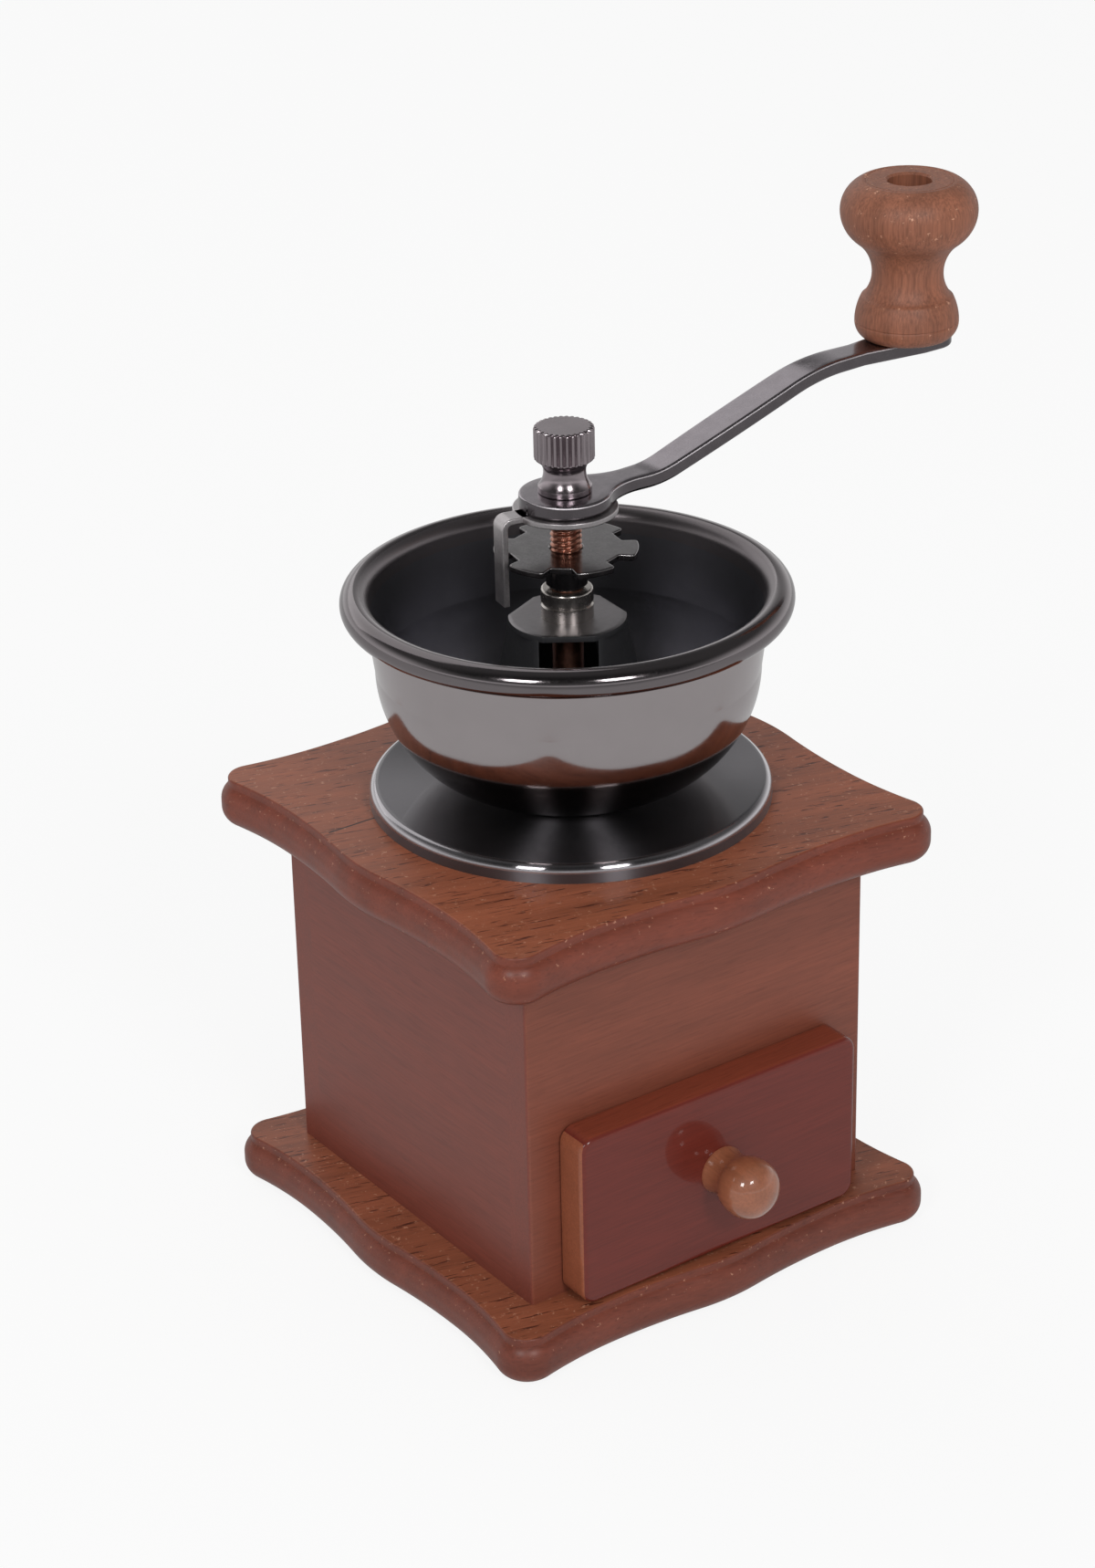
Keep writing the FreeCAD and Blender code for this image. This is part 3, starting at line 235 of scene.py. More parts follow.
# Stained beech under satin lacquer: the planed face is warm, the routed edges take more stain and are
# darker, short dark ray flecks lie along the grain, and pale specks show where an edge has lost lacquer.
def stained_beech(name, grain, face, edge, fleck, chip_heights=(), chips=0.55, flecks=0.85, rough=0.42,
                  gleam=0.4, coat=0.1, coat_rough=0.3, banding=0.2, fibres=0.12, end=None, crack=None):
    """grain turns the pattern's X axis to the grain; chip_heights are heights of edges with chips.

    chips, flecks, banding and fibres say how strongly the pale chips, the dark flecks, the broad bands
    and the fine fibres show, and gleam how much the bare stain shines. end is the colour of faces that
    look along X, where it differs. crack is a drying crack along X: its middle's x and y, and its half
    length.
    """
    made, tree, spot = finish_of(name)

    def grained(length, width, **shape):
        """Noise drawn out along the grain, in cells of a length and a width in millimetres."""
        cell = (length * MM, width * MM, width * MM)
        fitted = {"Vector": spot, "Rotation": grain, "Scale": cell}
        place = add(tree, "Mapping", fitted, vector_type="TEXTURE")
        return add(tree, "TexNoise", {"Vector": place, "Scale": 1.0, **shape})

    bands = grained(60, 5, Detail=4.0, Roughness=0.6)
    fibre = grained(9, 0.4, Detail=3.0, Roughness=0.6)
    ray = grained(4.6, 0.42, Detail=1.0)
    normal = add(tree, "NewGeometry", out="Normal")
    flat = spread(tree, part(tree, normal, "Z"), 0.75, 0.98)
    dark = spread(tree, ray, 0.635, 0.68, to_high=flecks)
    rays = maths(tree, "MULTIPLY", dark, spread(tree, flat, 0, 1, to_low=0.35))
    stain = blend(tree, flat, edge, face)
    if end:
        across = maths(tree, "GREATER_THAN", maths(tree, "ABSOLUTE", part(tree, normal, "X")), 0.7)
        stain = blend(tree, across, stain, end)
    deep = spread(tree, bands, 0.3, 0.7, 1 - banding, 1 + 0.75 * banding)
    fine = spread(tree, fibre, 0.3, 0.7, 1 - fibres, 1 + fibres)
    wood = dimmed(tree, stain, maths(tree, "MULTIPLY", deep, fine))
    wood = blend(tree, rays, wood, fleck)
    worn = spread(tree, noise(tree, spot, 1.1, Detail=3.0, Roughness=0.7), 0.62, 0.7, to_high=chips)
    chip_half, bare = 0.45, "#C9967A"
    for edge_height in chip_heights:
        near = maths(tree, "COMPARE", part(tree, spot, "Z"), edge_height * MM, chip_half * MM)
        wood = blend(tree, maths(tree, "MULTIPLY", near, worn), wood, bare)
    if crack:
        crack_x, crack_y, crack_half = crack
        wander, gap_half, shadow = 0.5, 0.2, "#2C120C"
        bent = maths(tree, "MULTIPLY_ADD", bands, wander * MM, part(tree, spot, "Y"))
        near = maths(tree, "COMPARE", bent, (crack_y + wander / 2) * MM, gap_half * MM)
        within = maths(tree, "COMPARE", part(tree, spot, "X"), crack_x * MM, crack_half * MM)
        wood = blend(tree, maths(tree, "MULTIPLY", near, within), wood, shadow)
    gloss = spread(tree, bands, 0, 1, rough - 0.06, rough + 0.1)
    grooved = bumps(tree, maths(tree, "SUBTRACT", fibre, rays), 0.25, 0.05)
    shade(tree, Base_Color=wood, Roughness=gloss, Normal=grooved, Specular_IOR_Level=gleam,
          Coat_Weight=coat, Coat_Roughness=coat_rough)
    return made


plate_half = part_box("base_plate")[1].x / MM
base_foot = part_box("base_plate")[0].z / MM
plate_grain = (0, 0, math.radians(-15))
worn_edges = np.array([1.6, 6.4, 7.9, 9.4])  # heights on a plate where the lacquer is chipped
base_board = surface("base_board", poles(rimmed(wavy_outline(plate_half), plate_rim(base_foot))))
base_board.data.materials.append(stained_beech(
    "stained_beech_base", plate_grain, "#8A4E36", "#6E3526", "#40190F", worn_edges + base_foot))
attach(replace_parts(base_board, "base_plate"), "case")

# Box walls
# Four beech boards, planed, glued at the corners and stained with the plates: the front board, with the
# drawer's opening sawn out, and the back board run across the ends of the two side boards.
along_x, along_y, along_z = (0, 0, 0), (0, 0, math.pi / 2), (0, math.pi / 2, 0)


def dress(material, *nodes):
    """Gives a material to solids that keep their shape."""
    for node in nodes:
        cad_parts[node].material_slots[0].material = material


end_stain, side_stain = "#7A4130", "#6C3C32"
for board, grain, stain in (("front_wall", along_x, end_stain), ("back_wall", along_x, end_stain),
                            ("left_wall", along_y, side_stain), ("right_wall", along_y, side_stain)):
    dress(stained_beech(f"stained_beech_{board}", grain, stain, stain, "#4E2218", flecks=0.5, banding=0.1,
                        end="#74392D"), board)

# Base screws
# Four countersunk wood screws of zinc-plated steel, driven up through the base board into the front and
# back boards, with their heads sunk in its underside.
def zinc_steel(name, colour, low, high, grit=0.4, sides=None):
    """Steel with a thin electroplated coat: grey, satin, a little blotchy where the coat is thicker.

    low and high bound its roughness, and grit is the size of its pits in millimetres. sides is the colour
    of upright faces, painted darker as shade; where it is given, the rounded corners between upright and
    flat faces also get a pale painted highlight and a rougher finish.
    """
    made, tree, spot = finish_of(name)
    patch = noise(tree, spot, 3, Detail=5.0, Roughness=0.65)
    speck = noise(tree, spot, grit, Detail=2.0)
    both = maths(tree, "MULTIPLY", patch, speck)
    rough = spread(tree, both, 0.12, 0.4, low, high)
    plating_and_painted_light = colour
    if sides:
        # Painted shade and painted highlight: upright faces take the darker sides colour, and the rounded
        # corners between upright and flat faces turn pale.
        level = spread(tree, part(tree, add(tree, "NewGeometry", out="Normal"), "Z"), 0.2, 0.6)
        corner = maths(tree, "COMPARE", level, 0.5, 0.35)
        plating_and_painted_light = blend(tree, corner, blend(tree, level, sides, colour), "#E0DADE")
        rough = add(tree, "Mix", {0: corner, 2: rough, 3: 0.5})
    metal = dimmed(tree, plating_and_painted_light, spread(tree, both, 0.1, 0.42, 0.82, 1.08))
    shade(tree, Base_Color=metal, Metallic=1.0, Roughness=rough, Normal=bumps(tree, speck, 0.12, 0.02))
    return made


screw_zinc = zinc_steel("zinc_plated_screw_steel", "#A9A6A4", 0.22, 0.42)
dress(screw_zinc, "base_screws")

# Deck board
# The upper plate, cut from the same beech to the same outline. A round hole in its middle lets the burr
# through, and the box's walls are glued to its underside.
deck_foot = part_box("top_plate")[0].z / MM
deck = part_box("top_plate")[1].z / MM
throat_hole = 18.4
drying_crack = (-38.8, 13.05, 5.0)


def ring_at(about, radius, height):
    """One row of points at a radius and a height, x, y = radius times the cosine and sine of about."""
    return np.stack([radius * np.cos(about), radius * np.sin(about), np.full_like(about, height)], 1)[None]


rim = rimmed(wavy_outline(plate_half), plate_rim(deck_foot))
about = np.arctan2(rim[-1, :, 1], rim[-1, :, 0])
deck_board = surface("deck_board", np.concatenate([
    rim, ring_at(about, throat_hole, deck), ring_at(about, throat_hole, deck_foot), rim[:1]]))
deck_board.data.materials.append(stained_beech(
    "stained_beech_deck", plate_grain, "#925238", "#723626", "#43190F", worn_edges + deck_foot,
    crack=drying_crack))
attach(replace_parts(deck_board, "top_plate"), "case")

# Ring burr
# The fixed grinding ring of cast iron, its flange screwed down on the deck under the skirt. Its flutes
# were cast and then dressed, and it is dark and grainy.
def cast_iron(name, colour, rough):
    """Grey iron as cast: dark, grainy, dull, with a trace of brown."""
    made, tree, spot = finish_of(name)
    sand = noise(tree, spot, 0.5, Detail=4.0, Roughness=0.7)
    metal = blend(tree, noise(tree, spot, 6, Detail=3.0), colour, "#4A4038")
    gloss = spread(tree, sand, 0, 1, rough - 0.1, rough + 0.12)
    shade(tree, Base_Color=metal, Metallic=1.0, Roughness=gloss, Normal=bumps(tree, sand, 0.4, 0.08))
    return made


burr_iron = cast_iron("cast_burr_iron", "#5C5956", 0.45)
dress(burr_iron, "ring_burr")
dress(screw_zinc, "burr_screws")

# Skirt ring
# A shallow dish pressed from thin steel and plated black nickel, turned upside down on the deck to hide
# the burr's flange. Its top was polished on a wheel, whose fine rings stretch reflections to rays.
def turned(profile, sides):
    """A profile of (radius, height) turned about Z: x, y = radius times cosine and sine of the angle."""
    angle = np.linspace(0, 2 * math.pi, sides, endpoint=False)
    radius, height = profile[:, :1], profile[:, 1:]
    return np.stack([radius * np.cos(angle), radius * np.sin(angle), height + 0 * angle], 2)


def black_nickel(name, colour, low, high, ring=0.35, rings=0.03, stretch=0.0, inside=None, bead=None,
                 lacquer=0.0, shoulder=None, under=None):
    """Polished plating over turned steel: a dark mirror with faint rings about Z, and smears that dull it.

    low and high bound its roughness. ring is the rings' spacing in millimetres, rings their depth, and
    stretch how far they draw reflections out across them. inside is the colour of walls that face the
    axis, which the polishing wheel doesn't reach, and under that of faces that look down, painted darker
    and browner as a painted reflection of the shaded deck. bead is the height above which the plating is
    painted another colour as shade, a painted reflection of the dark room, and that colour. lacquer is a
    clear glossy coat, and shoulder the colour of a painted highlight on faces that slope between upright
    and flat, which are also made smoother.
    """
    made, tree, spot = finish_of(name)
    smear = noise(tree, spot, 9, Detail=5.0, Roughness=0.6)
    dust = noise(tree, spot, 0.6, Detail=2.0)
    rough = spread(tree, maths(tree, "MULTIPLY", smear, dust), 0.12, 0.42, low, high)
    plating_and_painted_light = colour
    normal = add(tree, "NewGeometry", out="Normal")
    upward = part(tree, normal, "Z")
    height = part(tree, spot, "Z")
    off_axis = add(tree, "VectorMath", {0: spot, 1: (1, 1, 0)}, operation="MULTIPLY")
    if inside:
        outward = add(tree, "VectorMath", {0: normal, 1: off_axis}, operation="DOT_PRODUCT", out="Value")
        unpolished = spread(tree, outward, -9 * MM, -16 * MM)
        plating_and_painted_light = blend(tree, unpolished, plating_and_painted_light, inside)
        rough = add(tree, "Mix", {0: unpolished, 2: rough, 3: 0.36})
    # Painted shade: faces that look down blend to the darker under colour.
    if under:
        plating_and_painted_light = blend(tree, spread(tree, upward, -0.24, -0.45), plating_and_painted_light, under)
    # Painted shade: above the bead's height the plating turns to the darker bead colour.
    if bead:
        plating_and_painted_light = blend(tree, maths(tree, "GREATER_THAN", height, bead[0] * MM), plating_and_painted_light, bead[1])
    # Painted highlight: sloping faces turn to the paler shoulder colour.
    if shoulder:
        painted_highlight_band = maths(tree, "COMPARE", upward, 0.5, 0.46)
        plating_and_painted_light = blend(tree, painted_highlight_band, plating_and_painted_light, shoulder)
        rough = add(tree, "Mix", {0: painted_highlight_band, 2: rough, 3: 0.14})
    metal = dimmed(tree, plating_and_painted_light, spread(tree, smear, 0, 1, 0.92, 1.06))
    radius = add(tree, "VectorMath", {0: off_axis}, operation="LENGTH", out="Value")
    turning = add(tree, "CombineXYZ", {"X": radius, "Z": height})
    spun = bumps(tree, noise(tree, turning, ring, Detail=2.0), rings, 0.02)
    around = add(tree, "Tangent", direction_type="RADIAL", axis="Z")
    shade(tree, Base_Color=metal, Metallic=1.0, Roughness=rough, Normal=spun, Anisotropic=stretch,
          Anisotropic_Rotation=0.25, Tangent=around, Coat_Weight=lacquer, Coat_Roughness=0.06)
    return made


sheet, skirt_round, throat = 0.8, 1.6, 13.0
skirt_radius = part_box("skirt_ring")[1].x / MM
skirt_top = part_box("skirt_ring")[1].z / MM
inner_round = skirt_round - sheet
inner_radius = skirt_radius - sheet
skirt = trace(
    (throat, skirt_top - sheet), (inner_radius - inner_round, skirt_top - sheet),
    (inner_radius, skirt_top - skirt_round, -inner_round), (inner_radius, deck), (skirt_radius, deck),
    (skirt_radius, skirt_top - skirt_round), (skirt_radius - skirt_round, skirt_top, skirt_round),
    (throat, skirt_top), (throat, skirt_top - sheet))
pressed_skirt = surface("pressed_skirt", turned(skirt, sides=256))
# The shoulder colour is a painted highlight along the skirt's rounded rim.
pressed_skirt.data.materials.append(black_nickel(
    "wheel_polished_black_nickel", "#6E6B6F", 0.33, 0.38, ring=0.5, rings=0.04, stretch=1.0, lacquer=0.6,
    shoulder="#B0ACB0"))
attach(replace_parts(pressed_skirt, "skirt_ring"), "case")

# Hopper bowl
# Spun from the same sheet steel over a former: a flat seat, one large arc, a nearly upright wall and a rim
# curled outwards into a bead. Polished and plated black nickel, so it mirrors the deck and the room.
bowl_arc, arc_place, bowl_foot, seat = 22.5, 12.0, 20.0, 17.6
bead, bead_reach = 2.575, 40.3
bowl_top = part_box("hopper_bowl")[1].z / MM
arc_height = skirt_top + bowl_arc
bowl_wall = arc_place + bowl_arc
foot_height = arc_height - math.sqrt(bowl_arc ** 2 - (bowl_foot - arc_place) ** 2)
inner_arc = bowl_arc - sheet
inner_foot = arc_height - math.sqrt(inner_arc ** 2 - (bowl_foot - arc_place) ** 2)
bead_place, bead_height = bead_reach - bead, bowl_top - bead
lip = bead_place - bead
tuck = lip + sheet
tuck_height = bead_height - math.sqrt(bead ** 2 - (bead_place - tuck) ** 2)
bowl = trace(
    (throat, skirt_top), (seat, skirt_top), (bowl_foot, foot_height), (bowl_wall, arc_height, bowl_arc),
    (tuck, tuck_height), (bead_reach, bead_height, bead), (bead_place, bowl_top, bead),
    (lip, bead_height, bead), (bowl_wall - sheet, arc_height), (bowl_foot, inner_foot, -inner_arc),
    (seat, skirt_top + sheet), (throat, skirt_top + sheet), (throat, skirt_top))
spun_bowl = surface("spun_bowl", turned(bowl, sides=256), crease=40)
# The bead colour and the under colour are painted shade: a dark painted reflection on the rolled rim, and
# a brown painted reflection of the shaded deck on faces that look down.
spun_bowl.data.materials.append(black_nickel(
    "spun_black_nickel", "#ACA5A6", 0.1, 0.17, inside="#7A797E", bead=(tuck_height, "#7E787A"),
    under="#5C5452"))
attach(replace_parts(spun_bowl, "hopper_bowl"), "case")

# Bridge
# An iron casting that carries the spindle over the throat: a foot ring, three legs that lean inwards and
# a top disc cut straight over each window. It is painted black, and the disc was then faced bright.
def painted_casting(name, machined):
    """Black paint over sand-cast iron: soft gloss, an uneven skin. Flat tops above machined are bare."""
    made, tree, spot = finish_of(name)
    skin = noise(tree, spot, 1.2, Detail=3.0)
    high = maths(tree, "GREATER_THAN", part(tree, spot, "Z"), machined * MM)
    level = spread(tree, part(tree, add(tree, "NewGeometry", out="Normal"), "Z"), 0.5, 0.9)
    bare = maths(tree, "MULTIPLY", high, level)
    colour = blend(tree, bare, "#2A2A2C", "#8A8688")
    gloss = spread(tree, skin, 0, 1, 0.28, 0.46)
    shade(tree, Base_Color=colour, Metallic=bare, Roughness=gloss, Normal=bumps(tree, skin, 0.35, 0.1))
    return made


def rounded_box(half_width, half_height, corner):
    """A closed outline: a rectangle about the origin with round corners."""
    x, y = half_width, half_height
    u, v = x - corner, y - corner
    return trace((-u, -y), (u, -y), (x, -v, corner), (x, v), (u, y, corner), (-u, y), (-x, v, corner),
                 (-x, -v), (-u, -y, corner))[:-1]


ring_radius, ring_height, ring_edge = 17.3, 2.0, 0.5
legs, leg_foot, leg_top, leg_thick, leg_corner = 3, 16.2, 10.6, 2.1, 0.1
disc_thick, disc_chord, disc_edge, edge_middle, disc_land = 1.1, 9.6, 0.3, 0.09, 1.0
window, spigot, faced = 10.5, 3.6, 0.5
first_window = math.radians(-125)
bridge_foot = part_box("bridge_bracket")[0].z / MM
bridge_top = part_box("bridge_bracket")[1].z / MM
ring_top, under_disc = bridge_foot + ring_height, bridge_top - disc_thick
foot_ring = turned(trace(
    (throat, bridge_foot), (ring_radius, bridge_foot), (ring_radius, ring_top - ring_edge),
    (ring_radius - ring_edge, ring_top, ring_edge), (throat + ring_edge, ring_top),
    (throat, ring_top - ring_edge, ring_edge), (throat, bridge_foot)), sides=120)
angle = np.linspace(0, 2 * math.pi, 360, endpoint=False)
from_window = (angle - first_window + math.pi / legs) % (2 * math.pi / legs) - math.pi / legs
rim_radius = np.minimum(leg_top, disc_chord / np.cos(from_window))
# a disc row's first number is its own radius if positive, and otherwise its distance from the rim
disc_rows = np.array([
    (spigot, under_disc), (-disc_land, under_disc), (0, under_disc), (0, bridge_top - disc_edge),
    (-edge_middle, bridge_top - edge_middle), (-disc_edge, bridge_top), (-disc_land, bridge_top),
    (spigot, bridge_top), (spigot, under_disc)])
disc_radius = np.where(disc_rows[:, :1] > 0, disc_rows[:, :1], rim_radius + disc_rows[:, :1])
disc = np.stack([disc_radius * np.cos(angle), disc_radius * np.sin(angle),
                 np.broadcast_to(disc_rows[:, 1:], disc_radius.shape)], 2)


def leg(middle, rows=40, sink=0.4):
    """One leg: its section, as wide as the windows leave it, climbs from ring to disc and leans inwards.

    A window's edge stands half the window's width off its axis, so its angle is the arc sine of that over
    the radius. Both ends sink into what they join.
    """
    climb = np.linspace(0, 1, rows)[:, None]
    core = leg_foot + (leg_top - leg_foot) * climb - leg_thick / 2
    section = rounded_box(1, leg_thick / 2, leg_corner)
    depth = core + section[:, 1]
    across = middle + section[:, 0] * (math.pi / legs - np.arcsin(window / 2 / depth))
    height = ring_top - sink + (under_disc - ring_top + 2 * sink) * climb + 0 * across
    body = np.stack([depth * np.cos(across), depth * np.sin(across), height], 2)
    ends = np.stack([core * np.cos(across), core * np.sin(across), height], 2)
    return np.concatenate([ends[:1], body, ends[-1:]])


leg_middles = [first_window + math.pi / legs + 2 * math.pi / legs * k for k in range(legs)]
cast_bridge = surface("cast_bridge", foot_ring, disc, *[leg(middle) for middle in leg_middles])
cast_bridge.data.materials.append(painted_casting("black_painted_casting", bridge_top - faced))
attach(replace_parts(cast_bridge, "bridge_bracket"), "case")
dress(screw_zinc, "bridge_screws")

# Upper bush
# A steel collar turned on the lathe with one groove round its middle, plated dark and pressed into the
# bridge's disc. The setting nut runs on its top.
bush_radius, bush_round, fit, spindle_radius = 4.7, 0.45, 0.06, 2.8
groove_half, groove_floor_half, groove_depth = 0.4, 0.15, 0.3
bush_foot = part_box("upper_bush")[0].z / MM
bush_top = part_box("upper_bush")[1].z / MM
bore = spindle_radius + fit
groove = (bridge_top + bush_top) / 2
groove_radius = bush_radius - groove_depth
bush = trace(
    (bore, bush_foot), (spigot, bush_foot), (spigot, bridge_top), (bush_radius, bridge_top),
    (bush_radius, groove - groove_half), (groove_radius, groove - groove_floor_half),
    (groove_radius, groove + groove_floor_half), (bush_radius, groove + groove_half),
    (bush_radius, bush_top - bush_round), (bush_radius - bush_round, bush_top, bush_round),
    (bore, bush_top), (bore, bush_foot))
turned_bush = surface("turned_bush", turned(bush, sides=96))
dark_turned = black_nickel("turned_dark_nickel_steel", "#BDB7B2", 0.22, 0.3, ring=0.25, rings=0.08,
                           stretch=0.5)
turned_bush.data.materials.append(dark_turned)
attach(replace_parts(turned_bush, "upper_bush"), "case")

# Lower bearing
# A flat steel strap across the ring burr's mouth, with a pressed-in bush for the spindle's foot and two
# small screws. It hides inside the box.
dress(zinc_steel("zinc_plated_strap_steel", "#9A9794", 0.3, 0.5), "lower_strap")
dress(dark_turned, "lower_bush")
dress(screw_zinc, "strap_screws")

# Spindle
# A steel rod with a rolled thread below the crank and two flats at its end. It was washed with copper
# before plating, and the thread shows that colour.
def copper_wash(name):
    """Steel with a thin copper wash: reddish brown, cloudy, brighter where the wash is rubbed."""
    made, tree, spot = finish_of(name)
    cloud = noise(tree, spot, 1.5, Detail=4.0)
    metal = blend(tree, cloud, "#805446", "#D69C86")
    rough = spread(tree, cloud, 0, 1, 0.22, 0.4)
    shade(tree, Base_Color=metal, Metallic=1.0, Roughness=rough, Normal=bumps(tree, cloud, 0.1, 0.03))
    return made


spindle_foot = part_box("spindle")[0].z / MM
spindle_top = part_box("spindle")[1].z / MM
thread_foot, thread_top, pitch, thread_depth = 127.0, 139.6, 1.0, 0.42
flank_slope, crest_share = 1.5, 0.25
flat_half, end_length, end_inset = 2.2, 0.5, 0.4
run_in, row_step, shoulder_step = 1.0, 0.1, 0.02
level = np.concatenate([
    [spindle_foot, spindle_foot + end_length],
    np.arange(thread_foot - run_in, thread_top + shoulder_step / 2, row_step),
    [thread_top + shoulder_step, spindle_top - end_length, spindle_top]])[:, None]
angle = np.linspace(0, 2 * math.pi, 48, endpoint=False)[None]
# off_crest is 0 on the thread's crest and 1 in its root, and starts in how far the thread is cut there
off_crest = np.abs(((level - thread_foot) / pitch - angle / (2 * math.pi)) % 1 - 0.5) * 2
starts = np.clip((level - thread_foot) / pitch, 0, 1) * (level < thread_top)
radius = spindle_radius - thread_depth * np.clip(flank_slope * off_crest - crest_share, 0, 1) * starts
radius[[0, -1]] -= end_inset
x, y = radius * np.cos(angle), radius * np.sin(angle)
y = np.where(level > thread_top, np.clip(y, -flat_half, flat_half), y)
threaded_spindle = surface("threaded_spindle", poles(np.stack([x, y, level + 0 * angle], 2)))
threaded_spindle.data.materials.append(copper_wash("copper_washed_thread_steel"))
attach(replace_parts(threaded_spindle, "spindle"), "crank_shaft")

# Cone burr
# The turning burr of cast iron, keyed to the spindle by a cross pin, with coarse breaker flutes above fine
# grinding flutes.
dress(burr_iron, "cone_burr")
dress(screw_zinc, "burr_pin")

# Setting star
# A nut stamped as a star with six notches, on a round hub, threaded on the spindle. Turning it lifts or
# lowers the cone burr. Plated dark and polished, so that it mirrors the thread above it.
star_radius, star_thick, star_edge, star_land = 12.8, 1.2, 0.22, 0.55
hub_radius, hub_chamfer, bore_chamfer = 3.7, 0.6, 0.3
notches, notch_floor, notch_floor_half, notch_mouth_half = 6, 10.0, 1.85, 3.1
lobe_round, floor_round = 0.7, 0.4
tab_turn = math.radians(169)
hub_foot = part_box("star_wheel")[0].z / MM
star_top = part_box("star_wheel")[1].z / MM
plate_foot = star_top - star_thick


def star_outline():
    """Notches, each with a flat floor and two flanks that open outwards, between lobes with round corners.

    A lobe's corner circle stands its radius off the flank and as far inside the star's own circle.
    """
    lean = math.atan2(notch_mouth_half - notch_floor_half, star_radius - notch_floor)
    ahead = np.array([math.cos(lean), math.sin(lean)])
    aside = np.array([-math.sin(lean), math.cos(lean)])
    corner = np.array([notch_floor, notch_floor_half])
    centre = corner + lobe_round * aside
    pivot = star_radius - lobe_round
    slide = math.sqrt((centre @ ahead) ** 2 - centre @ centre + pivot ** 2) - centre @ ahead
    flank, tip = corner + slide * ahead, (centre + slide * ahead) * star_radius / pivot
    setback = floor_round * math.tan(math.pi / 4 - lean / 2)
    inner, outer = corner - [0, setback], corner + setback * ahead
    flip = np.array([1, -1])
    stops = []
    for notch in range(notches):
        angle = tab_turn + 2 * math.pi / notches * notch
        turn = np.array([[math.cos(angle), math.sin(angle)], [-math.sin(angle), math.cos(angle)]])
        stops += [(*(tip * flip @ turn), star_radius), (*(flank * flip @ turn), lobe_round),
                  outer * flip @ turn, (*(inner * flip @ turn), -floor_round), inner @ turn,
                  (*(outer @ turn), -floor_round), flank @ turn, (*(tip @ turn), lobe_round)]
    return trace(stops[0][:2], *stops[1:], stops[0], spacing=0.2)[:-1]


outline = star_outline()
about = np.arctan2(outline[:, 1], outline[:, 0])
star_rim = trace(
    (star_land, plate_foot), (star_edge, plate_foot), (0, plate_foot + star_edge, -star_edge),
    (0, star_top - star_edge), (star_edge, star_top, -star_edge), (star_land, star_top))
setting_star = surface("setting_star", np.concatenate([
    ring_at(about, bore, star_top - bore_chamfer), ring_at(about, bore, hub_foot),
    ring_at(about, hub_radius - hub_chamfer, hub_foot), ring_at(about, hub_radius, hub_foot + hub_chamfer),
    ring_at(about, hub_radius, plate_foot), rimmed(outline, star_rim),
    ring_at(about, bore + bore_chamfer, star_top), ring_at(about, bore, star_top - bore_chamfer)]))
setting_star.data.materials.append(zinc_steel("dark_nickel_star_steel", "#848182", 0.14, 0.24))
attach(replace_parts(setting_star, "star_wheel"), "setting_nut")

# Locking washer
# Stamped from sheet steel and keyed to the spindle's flats. Its long tab is bent down past a notch of the
# star and keeps the nut from turning.
lock_radius, lock_bore, lock_edge, lock_foot, lock_top = 9.3, 2.3, 0.2, 140.1, 141.2
tab_half, tab_reach, tab_bend, tab_root = 2.0, 13.0, 1.9, 2.5
lock_thick = lock_top - lock_foot
tab_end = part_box("lock_plate")[0].z / MM


def swept(path, half_widths, thick, corner):
    """Carries a flat bar's rounded section along a path in the XZ plane.

    half_widths gives half the bar's width at each point. The width lies along Y and the thickness along
    the path's normal. Both ends close in a point.
    """
    along = np.gradient(path, axis=0)
    along /= np.linalg.norm(along, axis=1, keepdims=True)
    section = rounded_box(1, thick / 2, corner)
    body_width = np.maximum(half_widths - corner, 0)[:, None]
    edge_width = np.minimum(half_widths, corner)[:, None]
    flat = np.clip(section[:, 0] / (1 - corner), -1, 1)
    rounding = np.sign(section[:, 0]) * np.maximum(np.abs(section[:, 0]) - (1 - corner), 0) / corner
    y = flat * body_width + rounding * edge_width
    x = path[:, :1] - along[:, 1:] * section[:, 1]
    z = path[:, 1:] + along[:, :1] * section[:, 1]
    return poles(np.stack([x, y, z], 2))


washer = turned(trace(
    (lock_bore, lock_foot), (lock_radius - lock_edge, lock_foot),
    (lock_radius, lock_foot + lock_edge, lock_edge), (lock_radius, lock_top - lock_edge),
    (lock_radius - lock_edge, lock_top, lock_edge), (lock_bore, lock_top), (lock_bore, lock_foot)),
    sides=128)
middle = (lock_foot + lock_top) / 2
drop = tab_reach - lock_thick / 2
bend = tab_bend - lock_thick / 2
tab_path = trace(
    (lock_radius - tab_root, middle), (drop - bend, middle), (drop, middle - bend, -bend), (drop, tab_end))
tab = swept(tab_path, np.full(len(tab_path), tab_half), lock_thick, lock_edge)
turn = np.array(Matrix.Rotation(tab_turn, 3, "Z"))
tab_washer = surface("tab_washer", washer, tab @ turn.T)
tab_washer.data.materials.append(zinc_steel("satin_washer_steel", "#C6C1C2", 0.3, 0.42))
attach(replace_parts(tab_washer, "lock_plate"), "crank_shaft")

